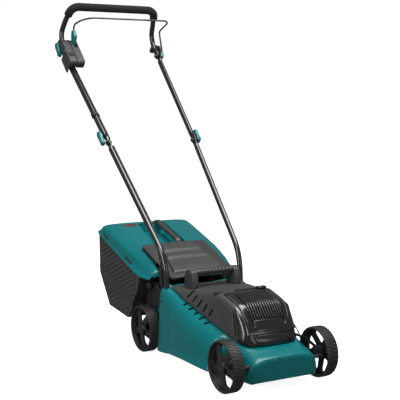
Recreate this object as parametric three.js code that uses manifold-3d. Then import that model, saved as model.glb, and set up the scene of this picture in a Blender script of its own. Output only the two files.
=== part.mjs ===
// Battery push lawn mower: moulded deck, grass box, folding tube handle, all in millimetres, +Z up.
// The mower drives towards -Y, X = 0 is its symmetry plane and Z = 0 is the ground.
// Pieces are drawn with Y = 0 at the front wheels; the exported group then moves the middle to Y = 0.
import * as THREE from 'three';
import { mergeVertices } from 'three/addons/utils/BufferGeometryUtils.js';
import Module from 'manifold-3d';

const wasm = await Module();
wasm.setup();

// ---- driving dimensions -------------------------------------------------------------------------
const GAP = 0.4;                 // clearance between neighbouring pieces that touch
const RUN = 0.5;                 // running clearance of a bore on its shaft

// wheels, axles and height adjustment
const TRACK_HALF = 179;          // outer face of the wheels
const WHEELBASE = 505;
const WHEEL_R = 75;
const WHEEL_W = 39;
const RIM_T = 9;                 // depth of the rolling rim
const HUB_R = 19;
const CAP_R = 17;
const STUB_R = 6;                // wheel stub and axle bar radius
const CRANK = 40;                // wheel stub behind the axle bar
const LINK_ARM = 22;             // link pin above the axle bar
const LINK_PIN_R = 3;
const ARM_T = 3.6;               // crank arm plate
const LEVER_T = 2;               // height lever and link plate
const LEVER = { y: 40, z: 138 }; // knob from the axle bar
const QUADRANT_T = 2;

// deck, motor and blade
const DECK_HALF = 172;           // skirt half width
const CHEEK_HALF = 130;          // outer face of the rear cheeks, inside the wheels
const CHEEK_T = 6;
const BLADE_Y = 215;             // motor axis
const BLADE_R = 160;
const BLADE_T = 3;
const BLADE_Z = 44;
const SHAFT_R = 5;
const CHAMBER_R = 166;
const CEILING_Z = 98;
const FLOOR_T = 6;               // plate that carries the motor, above the ceiling
const MOTOR_R = 48;

// battery bay and lid
const BAY_HALF = 68;
const BAY_Z = 110;               // floor of the bay in the deck
const TRAY_T = 3;
const COVER_Z = 236;             // flat top of the motor cover
const WELL_Z = 230;              // lower top under the carry handle
const LID_HALF = 76;
const LID_T = 7;
const WINDOW = { half: 58, front: 24, rear: 112, t: 5 };
const LID_PIN = { y: 149, z: 252, r: 2, half: 40 };
const KNUCKLE_HALF = 34;

// handle
const TUBE_R = 9.5;
const TUBE_WALL = 1.2;
const FOLD_L = 30;               // tube stops this far from a fold bolt
const TONGUE_T = 5;
const CLAMP_R = 3;               // fold bolt radius
const CAM_OUT = 17.5;            // quick-release pivot outside a fold bolt
const SOCKET = { h: 135, y: 394, z: 150 };     // foot of the lower tube in the deck
const TUBE_BOLT = { y: 396, z: 185, r: 2.8 };
const BEND = { h: 137, y: 405, z: 312 };       // bend of the lower tube
const FOLD_LOW = { h: 169, y: 766, z: 667 };   // lower fold bolt
const FOLD_UP = { h: 191.5, y: 1095, z: 977 }; // upper fold bolt
const ABOVE = { h: 188, y: 1127, z: 1022 };    // first bend over the upper fold
const TOP_BAR = { h: 150, y: 1077, z: 1148 };
const GRIP_R = 15;

// switch box, start button, bail and cable
const BOX_X = [-208, -148];
const BOX_STRAP = { from: 31, to: 46 };        // band round the upper tube, along the handle
const PADDLE_X = [-168, -156];
const BUTTON = { x: [-200, -184], from: -59.5, to: -44.5, top: 50, foot: 38, well: 33 };
const BAIL_AXIS = { a: 6, p: 22 };             // along the handle and off it, from the upper fold
const BAIL_R = 3;
const CABLE_R = 3;

// rear flap and grass box
const FLAP_PIN = { y: 404, z: 252, r: 3 };
const FLAP_HALF = 118;
const FLAP_END = { y: 611, z: 329 };
const SPRING_HALF = 20;
const BOX_HALF = 180;            // grass box lid lip
const BASKET_HALF = 172;
const BASKET_T = 3;
const MOUTH_HALF = CHEEK_HALF - CHEEK_T - 2;   // narrow front of the basket, between the cheeks
const INDICATOR = { x: -79, y: 792, rx: 28, ry: 10 };
const GRIP_WELL = { left: [-66, -40], right: 62, front: 616, rear: 800, deep: 30 };
const WING_FOOT = 238;           // lowest edge of the lid in front of the basket, over the lever knob

// ---- solids -------------------------------------------------------------------------------------
const X = new THREE.Vector3(1, 0, 0);
const Y = new THREE.Vector3(0, 1, 0);
const Z = new THREE.Vector3(0, 0, 1);
const V = (x, y, z) => new THREE.Vector3(x, y, z);

function solid(geometry) {
  const bare = geometry.index ? geometry.toNonIndexed() : geometry.clone();
  for (const name of Object.keys(bare.attributes)) if (name !== 'position') bare.deleteAttribute(name);
  const merged = mergeVertices(bare, 1e-4);
  return new wasm.Manifold(new wasm.Mesh({
    numProp: 3,
    vertProperties: new Float32Array(merged.attributes.position.array),
    triVerts: new Uint32Array(merged.index.array),
  }));
}

function geometryOf(manifold) {
  const mesh = manifold.getMesh();
  const geometry = new THREE.BufferGeometry();
  geometry.setAttribute('position', new THREE.BufferAttribute(mesh.vertProperties, 3));
  geometry.setIndex(new THREE.BufferAttribute(mesh.triVerts, 1));
  return geometry;
}

const union = (...parts) => parts.flat().reduce((a, b) => a.add(b));

// outline: [[u, v], ...] or a Shape, extruded along axis from one value to the other
function prism(axis, outline, from, to) {
  const points = (list) => list.map(([u, v]) => new THREE.Vector2(u, v));
  const shape = outline instanceof THREE.Shape ? outline : new THREE.Shape(points(outline));
  const options = { depth: to - from, bevelEnabled: false, curveSegments: 5 };
  const geometry = new THREE.ExtrudeGeometry(shape, options);
  const basis = new THREE.Matrix4();
  if (axis === 'x') basis.makeBasis(Y, Z, X).setPosition(from, 0, 0);
  if (axis === 'y') basis.makeBasis(X, Z, V(0, -1, 0)).setPosition(0, to, 0);
  if (axis === 'z') basis.setPosition(0, 0, from);
  return solid(geometry.applyMatrix4(basis));
}

function block(x0, x1, y0, y1, z0, z1) {
  const geometry = new THREE.BoxGeometry(x1 - x0, y1 - y0, z1 - z0);
  return solid(geometry.translate((x0 + x1) / 2, (y0 + y1) / 2, (z0 + z1) / 2));
}

function rod(from, to, radius, sides = 20) {
  const along = to.clone().sub(from);
  const geometry = new THREE.CylinderGeometry(radius, radius, along.length(), sides);
  geometry.applyQuaternion(new THREE.Quaternion().setFromUnitVectors(Y, along.clone().normalize()));
  return solid(geometry.translate(...from.clone().add(to).multiplyScalar(0.5).toArray()));
}

const rodX = (x0, x1, y, z, radius, sides) => rod(V(x0, y, z), V(x1, y, z), radius, sides);
const rodZ = (x, y, z0, z1, radius, sides) => rod(V(x, y, z0), V(x, y, z1), radius, sides);

// a path of chosen stations, for bars and tubes that bend
class Stations extends THREE.Curve {
  constructor(points) {
    super();
    this.points = points;
  }

  getSpacedPoints() {
    return this.points;
  }

  getPoint(t) {
    return this.points[Math.round(t * (this.points.length - 1))].clone();
  }

  getPointAt(u) {
    return this.getPoint(u);
  }

  getTangentAt(u) {
    const i = Math.round(u * (this.points.length - 1));
    const before = this.points[Math.max(i - 1, 0)];
    const after = this.points[Math.min(i + 1, this.points.length - 1)];
    return after.clone().sub(before).normalize();
  }
}

// corners of a polyline become arcs of the given radius
function rounded(points, radius, steps = 5) {
  const out = [points[0]];
  for (let i = 1; i < points.length - 1; i++) {
    const back = points[i - 1].clone().sub(points[i]);
    const ahead = points[i + 1].clone().sub(points[i]);
    const cut = Math.min(radius, back.length() * 0.45, ahead.length() * 0.45);
    const a = points[i].clone().add(back.setLength(cut));
    const b = points[i].clone().add(ahead.setLength(cut));
    const arc = new THREE.QuadraticBezierCurve3(a, points[i], b);
    out.push(...arc.getPoints(steps));
  }
  out.push(points[points.length - 1]);
  return out;
}

function bar(points, radius, sides = 12, inner = 0) {
  const shape = new THREE.Shape();
  const ring = (r) => [...Array(sides).keys()].map((i) => {
    const a = (i / sides) * 2 * Math.PI;
    return new THREE.Vector2(r * Math.cos(a), r * Math.sin(a));
  });
  shape.setFromPoints(ring(radius));
  if (inner > 0) shape.holes.push(new THREE.Path(ring(inner).reverse()));
  const extrudePath = new Stations(points);
  return solid(new THREE.ExtrudeGeometry(shape, { steps: points.length - 1, extrudePath }));
}

// closed skin over rings of equal length, each ring [[x, z], ...] at its y
function loft(sections) {
  const n = sections[0].ring.length;
  const rings = sections.map(({ y, ring }) => ring.map(([x, z]) => [x, y, z]));
  const positions = [];
  const face = (a, b, c) => positions.push(...a, ...c, ...b);
  for (let s = 0; s < rings.length - 1; s++) {
    for (let i = 0; i < n; i++) {
      const j = (i + 1) % n;
      face(rings[s][i], rings[s + 1][j], rings[s + 1][i]);
      face(rings[s][i], rings[s][j], rings[s + 1][j]);
    }
  }
  const middle = (ring) => ring.reduce((m, p) => m.map((v, k) => v + p[k] / n), [0, 0, 0]);
  const first = middle(rings[0]);
  const last = middle(rings[rings.length - 1]);
  for (let i = 0; i < n; i++) {
    const j = (i + 1) % n;
    face(first, rings[0][j], rings[0][i]);
    face(last, rings[rings.length - 1][i], rings[rings.length - 1][j]);
  }
  const geometry = new THREE.BufferGeometry();
  geometry.setAttribute('position', new THREE.Float32BufferAttribute(positions, 3));
  return solid(geometry);
}

// half outline from the bottom up, mirrored to the other side
const mirrored = (half) => [...half.map(([x, z]) => [-x, z]).reverse(), ...half];
const body = (rows) => loft(rows.map(([y, ...half]) => ({ y, ring: mirrored(half) })));

const lerp = (table, at) => {
  const k = Math.max(1, table.findIndex(([v], i) => i > 0 && at <= v));
  const i = at > table[table.length - 1][0] ? table.length - 1 : k;
  const [v0, w0] = table[i - 1];
  const [v1, w1] = table[i];
  return w0 + ((at - v0) / (v1 - v0)) * (w1 - w0);
};

// ---- shared lines of the body -------------------------------------------------------------------
// seam between deck and motor cover, as height over y
const SEAM = { z: 116, rise: 0.285 };
const seam = (y) => SEAM.z + SEAM.rise * y;
// crown of the battery lid from the chin to its hinge
const CROWN = [[10, 150], [30, 182], [50, 212], [64, 226], [144, 248]];

// ---- deck ---------------------------------------------------------------------------------------
function deckShell() {
  const front = 88;
  const rear = 412;
  const side = (y, b, zb, m, zm, s, zs, t) => [y, [b, zb], [m, zm], [s, zs], [t, seam(y) - GAP]];
  const nose = body([
    [-58, [96, 32], [106, 62], [100, 88], [84, 96]],
    [-40, [112, 27], [114, 62], [108, 94], [88, 105]],
    [0, [114, 27], [116, 62], [110, 100], [84, seam(0) - GAP]],
    [front + 4, [114, 30], [118, 70], [112, 118], [98, seam(front + 4) - GAP]],
  ]);
  const main = body([
    side(front, 166, 36, 158, 80, 143, 126, 112),
    side(150, DECK_HALF, 38, 166, 100, 148, 145, 116),
    side(230, DECK_HALF, 38, 168, 118, 150, 166, 120),
    side(310, DECK_HALF, 34, 168, 135, 151, 190, 126),
    side(380, DECK_HALF, 25, 166, 145, 151, 208, 132),
    side(rear, 168, 23, 160, 150, 150, 212, 140),
  ]);
  const cheek = [[rear - 6, 52], [rear - 6, 236], [436, 240], [480, 160], [545, 112], [545, 66], [500, 52]];
  const floor = [[rear - 14, 60], [rear - 14, 67], [468, 92], [545, 101], [545, 95], [468, 86]];
  const ear = [[394, 222], [394, 258], [400, 263], [410, 261], [rear, 250], [rear, 222]];
  const rearParts = [-1, 1].flatMap((s) => {
    const [a, b] = [s * (CHEEK_HALF - CHEEK_T), s * CHEEK_HALF].sort((p, q) => p - q);
    const [c, d] = [s * (FLAP_HALF + 1.5), s * (FLAP_HALF + 6.5)].sort((p, q) => p - q);
    return [prism('x', cheek, a, b), prism('x', ear, c, d)];
  });
  let shell = nose.add(main);
  shell = shell.subtract(rodZ(0, BLADE_Y, 0, CEILING_Z, CHAMBER_R, 40));
  shell = shell.subtract(block(-100, 100, -52, 42, 0, 90));
  shell = shell.subtract(block(-106, 106, 112, 386, CEILING_Z + FLOOR_T, 400));
  shell = shell.subtract(block(-BAY_HALF - 1, BAY_HALF + 1, 30, 142, BAY_Z, 400));
  const tunnel = [[290, 50], [382, 50], [rear + 2, 69], [rear + 2, 300], [398, 300], [392, CEILING_Z],
    [290, CEILING_Z]];
  shell = shell.subtract(prism('x', tunnel, -MOUTH_HALF + 4, MOUTH_HALF - 4));
  shell = union(shell, rearParts, prism('x', floor, -CHEEK_HALF + 2, CHEEK_HALF - 2));
  const linkZ = [CEILING_Z + 5, CEILING_Z + 22];
  const linkX = CHEEK_HALF + 1;
  shell = shell.subtract(block(linkX, linkX + LEVER_T + 4, front - 2, rear + 4, ...linkZ));
  for (const y of [-CRANK, WHEELBASE - CRANK]) {
    shell = shell.subtract(rodX(-200, 200, y, WHEEL_R, STUB_R + RUN, 20));
  }
  shell = shell.subtract(rodZ(0, BLADE_Y, 90, 120, SHAFT_R + 7, 24));
  shell = shell.subtract(rodX(-200, 200, FLAP_PIN.y, FLAP_PIN.z, FLAP_PIN.r + GAP, 14));
  for (const s of [-1, 1]) {
    const foot = V(s * SOCKET.h, SOCKET.y, SOCKET.z);
    const bend = V(s * BEND.h, BEND.y, BEND.z);
    const sunk = foot.clone().sub(bend).setLength(GAP).add(foot);
    shell = shell.subtract(rod(sunk, bend, TUBE_R + GAP, 16));
    shell = shell.subtract(tubeBoltHole(s));
  }
  return shell;
}

const tubeBoltHole = (s) => (
  rodX(s * SOCKET.h - 26, s * SOCKET.h + 26, TUBE_BOLT.y, TUBE_BOLT.z, TUBE_BOLT.r + GAP, 10)
);

function motorCover() {
  const top = (y) => lerp(CROWN, y) - LID_T - GAP;
  const row = (y, b, m, zm, t, z = top(y)) => [y, [b, seam(y)], [m, zm], [t, z]];
  const rows = [
    row(1, 72, 70, 124, 62, 132),
    row(10, 80, 78, 130, 72),
    row(30, 93, 88, 158, 80),
    row(50, 99, 91, 188, 84),
    row(64, 101, 92, 206, 84),
    row(144, 113, 96, 222, 80),
    row(156, 114, 97, 222, 80, 240),
    row(158, 114, 97, 222, 80, 248),
    row(200, 118, 98, 222, 80, 242),
    row(232, 121, 100, 223, 81, COVER_Z),
    row(296, 126, 105, 225, 83, COVER_Z),
    row(308, 127, 107, 226, 84, WELL_Z),
    row(345, 128, 110, 227, 86, WELL_Z),
    row(391, 124, 116, 230, 104, WELL_Z + 1),
  ];
  const inset = (h) => h - 4;
  const inner = [
    [10, [64, seam(10) - 1], [62, 124], [56, 126]],
    [26, [inset(92), seam(26) - 1], [inset(88), 148], [inset(80), 160]],
    [64, [inset(101), seam(64) - 1], [inset(92), 200], [inset(84), 212]],
    [144, [inset(113), seam(144) - 1], [inset(96), 220], [inset(80), 234]],
    [230, [inset(121), seam(230) - 1], [inset(100), 219], [inset(81), COVER_Z - 4]],
    [294, [inset(126), seam(294) - 1], [inset(105), 221], [inset(83), COVER_Z - 4]],
    [306, [inset(126), seam(306) - 1], [inset(106), 220], [inset(84), WELL_Z - 4]],
    [386, [inset(122), seam(386) - 1], [inset(114), 226], [inset(106), WELL_Z - 3]],
  ];
  let cover = body(rows).subtract(body(inner));
  cover = cover.subtract(block(-BAY_HALF, BAY_HALF, 20, 140, 100, 300));
  const post = [[318, WELL_Z - 3], [321, 264], [328, 280], [334, 284], [352, 284], [362, 274],
    [370, WELL_Z - 3]];
  const grip = [[334, 268], [332, 276], [336, 284], [352, 284], [356, 276], [353, 268]];
  const posts = [prism('x', post, -86, -70), prism('x', post, 70, 86)];
  cover = union(cover, posts, prism('x', grip, -72, 72));
  const slot = [[-4, -2], [4, -2], [8, 16], [2, 16]];
  for (let i = 0; i < 5; i++) {
    const y = 170 + i * 30;
    const vent = slot.map(([u, v]) => [u + y, v + seam(y) + 22]);
    for (const [a, b] of [[-140, -90], [90, 140]]) cover = cover.subtract(prism('x', vent, a, b));
  }
  return cover;
}

function batteryLid() {
  const lower = CROWN.map(([y, z]) => [y, z - LID_T]).reverse();
  const window = block(-WINDOW.half, WINDOW.half, WINDOW.front, WINDOW.rear, BAY_Z, 300);
  const plate = prism('x', [...CROWN, ...lower], -LID_HALF, LID_HALF);
  const knuckle = rodX(-KNUCKLE_HALF, KNUCKLE_HALF, LID_PIN.y, LID_PIN.z, LID_PIN.r + 2.5, 12);
  const strap = block(-KNUCKLE_HALF, KNUCKLE_HALF, LID_PIN.y - 9, LID_PIN.y, LID_PIN.z - 8, LID_PIN.z);
  const bore = rodX(-LID_PIN.half, LID_PIN.half, LID_PIN.y, LID_PIN.z, LID_PIN.r + GAP, 12);
  return union(plate, strap, knuckle).subtract(window).subtract(bore);
}

function lidWindow() {
  const lower = CROWN.map(([y, z]) => [y, z - WINDOW.t]).reverse();
  const half = WINDOW.half - GAP;
  const plate = prism('x', [...CROWN, ...lower], -half, half);
  return plate.intersect(block(-half, half, WINDOW.front + GAP, WINDOW.rear - GAP, BAY_Z, 300));
}

function batteryTray() {
  const z = BAY_Z + GAP;
  const outer = block(-BAY_HALF + GAP, BAY_HALF - GAP, 68, 138, z, 216);
  const front = prism('x', [[34, z], [34, 168], [68.5, 200], [68.5, z]], -BAY_HALF + GAP, BAY_HALF - GAP);
  const inner = block(-BAY_HALF + 4, BAY_HALF - 4, 38, 134, z + TRAY_T, 300);
  return outer.add(front).subtract(inner);
}

function batteryPack(side) {
  const [a, b] = [side * 3, side * (BAY_HALF - 6)].sort((p, q) => p - q);
  const z = BAY_Z + TRAY_T + 2.5 * GAP;
  const outline = [[41, z], [41, 168], [60, 196], [131, 206], [131, z]];
  return prism('x', outline, a, b);
}

function motorCan() {
  const foot = CEILING_Z + FLOOR_T + GAP;
  const can = rodZ(0, BLADE_Y, foot, 168, MOTOR_R, 32);
  const flange = rodZ(0, BLADE_Y, foot, foot + 5, MOTOR_R + 8, 32);
  return can.add(flange).subtract(rodZ(0, BLADE_Y, 90, 180, 22, 24));
}

function controllerBox() {
  return block(-58, 58, 276, 336, CEILING_Z + FLOOR_T + GAP, 200);
}

const lidPin = () => rodX(-LID_PIN.half, LID_PIN.half, LID_PIN.y, LID_PIN.z, LID_PIN.r, 12);

// bolt through deck and handle tube, its head outside
function tubeBolt(s) {
  const [a, b] = [s * 118, s * 159].sort((p, q) => p - q);
  const [c, d] = [s * 158.6, s * 163].sort((p, q) => p - q);
  const shank = rodX(a, b, TUBE_BOLT.y, TUBE_BOLT.z, TUBE_BOLT.r, 10);
  return shank.add(rodX(c, d, TUBE_BOLT.y, TUBE_BOLT.z, 6, 6));
}

// ---- blade --------------------------------------------------------------------------------------
function rotor() {
  return rodZ(0, BLADE_Y, CEILING_Z + 14, 160, 20, 24).add(rodZ(0, BLADE_Y, 52, 164, SHAFT_R, 16));
}

function bladeHolder() {
  const hub = rodZ(0, BLADE_Y, 52, 74, 16, 20);
  const disc = rodZ(0, BLADE_Y, 66, 70, 60, 32);
  const wings = [0, 1, 2, 3, 4, 5].map((i) => {
    const a = (i / 6) * 2 * Math.PI;
    const fin = new THREE.BoxGeometry(44, 2.4, 14).translate(36, 0, 75).rotateZ(a);
    return solid(fin.translate(0, BLADE_Y, 0));
  });
  return union(hub, disc, wings).subtract(rodZ(0, BLADE_Y, 50, 90, SHAFT_R + GAP, 16));
}

function blade() {
  const half = 22;
  const t = BLADE_T;
  const lift = 9;
  const [a, b] = [BLADE_R - 64, BLADE_R - 42];
  const outline = [[-BLADE_R, lift], [-b, lift], [-a, 0], [a, 0], [b, lift], [BLADE_R, lift],
    [BLADE_R, lift + t], [b - 1, lift + t], [a - 1, t], [1 - a, t], [1 - b, lift + t],
    [-BLADE_R, lift + t]];
  const strip = prism('y', outline.map(([x, z]) => [x, z + BLADE_Z]), BLADE_Y - half, BLADE_Y + half);
  const round = rodZ(0, BLADE_Y, BLADE_Z - 5, BLADE_Z + 20, BLADE_R, 64);
  return strip.intersect(round).subtract(rodZ(0, BLADE_Y, 0, 90, SHAFT_R + GAP, 16));
}

function bladeBolt() {
  const head = rodZ(0, BLADE_Y, BLADE_Z - 9.5, BLADE_Z - 2.5, 7.5, 6);
  const washer = rodZ(0, BLADE_Y, BLADE_Z - 2.5, BLADE_Z - GAP, 14, 20);
  return union(head, washer, rodZ(0, BLADE_Y, BLADE_Z - 4, 51.5, SHAFT_R, 16));
}

// ---- wheels and axles ---------------------------------------------------------------------------
const WHEEL_IN = TRACK_HALF - WHEEL_W;
const ARM_OUT = WHEEL_IN - 1.2;
const ARM_IN = ARM_OUT - ARM_T;
const STUB_END = TRACK_HALF - 8;
const LINK_IN = CHEEK_HALF + 2.4;
const LINK_OUT = LINK_IN + LEVER_T;
const LEVER_X = -CHEEK_HALF - QUADRANT_T - 2 * GAP;     // inner face of the height lever

// axle bar in the deck, with a crank arm, wheel stub and link pin
function crankedAxle(y) {
  const pivot = y - CRANK;
  const arm = new THREE.Shape();
  arm.absarc(0, 0, STUB_R + 4, Math.PI / 2, Math.PI * 1.5, false);
  arm.absarc(CRANK, 0, STUB_R + 4, -Math.PI / 2, Math.PI / 2, false);
  arm.closePath();
  const arms = [[-ARM_OUT, -ARM_IN], [ARM_IN, ARM_OUT]].map(([a, b]) => (
    prism('x', arm, a, b).translate([0, pivot, WHEEL_R])
  ));
  const shaft = rodX(-ARM_OUT + 0.5, ARM_OUT - 0.5, pivot, WHEEL_R, STUB_R, 12);
  const ends = [[-STUB_END, -ARM_IN], [ARM_IN, STUB_END]];
  const stubs = ends.map(([a, b]) => rodX(a, b, y, WHEEL_R, STUB_R, 12));
  const rise = block(ARM_IN, ARM_OUT, pivot - 7, pivot + 7, WHEEL_R, WHEEL_R + LINK_ARM + 6);
  const pin = rodX(LINK_IN - 0.5, ARM_IN + 1, pivot, WHEEL_R + LINK_ARM, LINK_PIN_R, 12);
  return union(shaft, arms, stubs, rise, pin);
}


function linkRod() {
  const z = WHEEL_R + LINK_ARM;
  const high = CEILING_Z + 14;
  const [front, rear] = [-CRANK, WHEELBASE - CRANK];
  const outline = [[front - 6, z - 5], [front + 24, z - 5], [front + 70, high - 4], [rear - 38, high - 4],
    [rear - 12, z - 6], [rear + 6, z - 6], [rear + 6, z + 6], [rear - 10, z + 6], [rear - 32, high + 4],
    [front + 66, high + 4], [front + 20, z + 6], [front - 6, z + 6]];
  const plate = prism('x', outline, LINK_IN, LINK_OUT);
  const rearHole = rodX(LINK_IN - 2, LINK_OUT + 2, rear, z, LINK_PIN_R + GAP, 12);
  const frontHole = rodX(LINK_IN - 2, LINK_OUT + 2, front, z, LINK_PIN_R + 1, 12);
  return plate.subtract(rearHole).subtract(frontHole);
}

function heightLever() {
  const [y, z] = [WHEELBASE - CRANK, WHEEL_R];
  const outline = [[y - 10, z - 3], [y - 4, z - 10], [y + 6, z - 10], [y + 11, z],
    [y + LEVER.y + 8, z + LEVER.z - 16],
    [y + LEVER.y + 8, z + LEVER.z], [y + LEVER.y - 8, z + LEVER.z], [y + LEVER.y - 10, z + LEVER.z - 14]];
  const plate = prism('x', outline, LEVER_X - LEVER_T, LEVER_X);
  return plate.subtract(rodX(LEVER_X - 4, LEVER_X + 2, y, z, STUB_R + GAP, 16));
}

function leverKnob() {
  const [y, z] = [WHEELBASE - CRANK + LEVER.y, WHEEL_R + LEVER.z];
  const x = LEVER_X - LEVER_T - GAP;
  const knob = new THREE.SphereGeometry(11, 12, 8).scale(0.75, 1, 1.2).translate(x - 8.5, y, z);
  const neck = block(x - 8, x, y - 8, y + 8, z - 16, z);
  return solid(knob).add(neck).intersect(block(x - 30, x, y - 20, y + 20, z - 30, z + 30));
}

// notched plate behind the lever, fixed to the right cheek
function quadrant() {
  const outline = [[438, 150], [446, 190], [466, 214], [494, 226], [514, 226], [524, 208],
    [548, 172], [556, 156],
    [530, 148], [480, 146]];
  const x = -CHEEK_HALF - GAP;
  return prism('x', outline, x - QUADRANT_T, x);
}

function wheel(side, y) {
  const [inner, outer] = side > 0 ? [WHEEL_IN, TRACK_HALF] : [-TRACK_HALF, -WHEEL_IN];
  // round on 2 * halfSides flats, one of them below, each ro from the middle
  const ring = (ro, ri, a, b, halfSides) => {
    const turn = Math.PI / halfSides / 2;
    const [from, to] = [turn, turn + 2 * Math.PI];
    const shape = new THREE.Shape().absarc(0, 0, ro / Math.cos(turn), from, to, false);
    if (ri > 0) shape.holes.push(new THREE.Path().absarc(0, 0, ri, to, from, true));
    const settings = { depth: b - a, bevelEnabled: false, curveSegments: halfSides };
    const geometry = new THREE.ExtrudeGeometry(shape, settings);
    geometry.applyMatrix4(new THREE.Matrix4().makeBasis(Y, Z, X).setPosition(a, 0, 0));
    return solid(geometry);
  };
  const face = side > 0 ? [outer - 22, outer - 7] : [inner + 7, inner + 22];
  const hub = side > 0 ? [inner + 1, outer - 7.5] : [inner + 7.5, outer - 1];
  const rolling = ring(WHEEL_R, WHEEL_R - RIM_T, inner, outer, 16);
  let disc = ring(WHEEL_R - RIM_T + 1, 0, face[0], face[1], 12);
  for (let i = 0; i < 5; i++) {
    const a = (i / 5) * 2 * Math.PI + Math.PI / 2;
    const window = new THREE.Shape();
    const [r0, r1, w0, w1] = [HUB_R + 7, WHEEL_R - RIM_T - 5, 0.36, 0.5];
    window.absarc(0, 0, r1, a - w1, a + w1, false);
    window.absarc(0, 0, r0, a + w0, a - w0, true);
    window.closePath();
    const cut = new THREE.ExtrudeGeometry(window, { depth: 30, bevelEnabled: false, curveSegments: 2 });
    cut.applyMatrix4(new THREE.Matrix4().makeBasis(Y, Z, X).setPosition(face[0] - 5, 0, 0));
    disc = disc.subtract(solid(cut));
  }
  const whole = union(rolling, disc, ring(HUB_R, 0, hub[0], hub[1], 8));
  const bore = rodX(-STUB_END - 9, STUB_END + 9, 0, 0, STUB_R + RUN, 12);
  return whole.subtract(bore).translate([0, y, WHEEL_R]);
}

function hubCap(side, y) {
  const [a, b] = [TRACK_HALF - 6.6, TRACK_HALF - 1].map((v) => v * side).sort((p, q) => p - q);
  return rodX(a, b, y, WHEEL_R, CAP_R, 16);
}

// ---- rear flap ----------------------------------------------------------------------------------
function rearFlap() {
  const rise = (FLAP_END.z - FLAP_PIN.z) / (FLAP_END.y - FLAP_PIN.y);
  const line = (y, dz) => [y, FLAP_PIN.z + (y - FLAP_PIN.y) * rise + dz];
  const [y0, y1] = [FLAP_PIN.y, FLAP_END.y];
  const edge = [line(y0 + 2, -3), line(y1, -3), line(y1, 1), line(y0 + 2, 1)];
  const flange = prism('x', edge, -FLAP_HALF, FLAP_HALF);
  const hump = prism('x', [line(y0 + 18, 0), line(y1 - 22, 0), line(y1 - 22, 17), line(y1 - 70, 16),
    line(y1 - 90, 10), line(y0 + 40, 8)], -100, 100);
  const plan = prism('z', [[-97, y0 + 10], [97, y0 + 10], [60, y1 - 10], [-60, y1 - 10]], 200, 400);
  const knuckle = rodX(-FLAP_HALF, FLAP_HALF, y0, FLAP_PIN.z, 6, 14);
  const pinBore = rodX(-FLAP_HALF - 1, FLAP_HALF + 1, y0, FLAP_PIN.z, FLAP_PIN.r + GAP, 14);
  const half = SPRING_HALF + 1;
  const springGap = block(-half, half, y0 - 8, y0 + 8, FLAP_PIN.z - 9, FLAP_PIN.z + 9);
  return union(flange, hump.intersect(plan), knuckle).subtract(pinBore).subtract(springGap);
}

function flapSpring() {
  const coil = rodX(-SPRING_HALF, SPRING_HALF, FLAP_PIN.y, FLAP_PIN.z, 5.4, 14);
  return coil.subtract(rodX(-40, 40, FLAP_PIN.y, FLAP_PIN.z, FLAP_PIN.r + GAP, 14));
}

const flapPin = () => rodX(-FLAP_HALF - 6, FLAP_HALF + 6, FLAP_PIN.y, FLAP_PIN.z, FLAP_PIN.r, 14);

// ---- grass box ----------------------------------------------------------------------------------
function basket() {
  const wide = [[612, 90], [759, 104], [838, 208], [842, 340], [600, 262], [522, 236], [536, 200]];
  const narrow = [[482, 107], [620, 107], [620, 262], [482, 222]];
  const outer = union(
    prism('x', wide, -BASKET_HALF, BASKET_HALF),
    prism('x', narrow, -MOUTH_HALF, MOUTH_HALF),
  );
  const w = BASKET_T;
  const hollow = [[614, 93], [757, 107], [835, 209], [839, 400], [526, 400], [539, 202]];
  const inner = union(
    prism('x', hollow, -BASKET_HALF + w, BASKET_HALF - w),
    prism('x', [[470, 110], [624, 110], [624, 400], [470, 400]], -MOUTH_HALF + w, MOUTH_HALF - w),
  );
  return outer.subtract(inner);
}

const overLid = (y, up) => [y, 318 + (y - FLAP_END.y) * 0.296 + up];

// the sunk grip well in the middle of the lid, grown by a wall to each side and below
function sunk(wall, below, top) {
  const { left, right, front, rear, deep } = GRIP_WELL;
  const plan = prism('z', [[left[0] - wall, front - wall], [right + wall, front - wall],
    [right + wall, rear + wall], [left[1] - wall, rear + wall]], 200, 430);
  const floor = -deep - below;
  const profile = [overLid(front - 4, floor), overLid(rear + 4, floor), overLid(rear + 4, top),
    overLid(front - 4, top)];
  return plan.intersect(prism('x', profile, left[0] - 4, right + 4));
}

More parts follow.
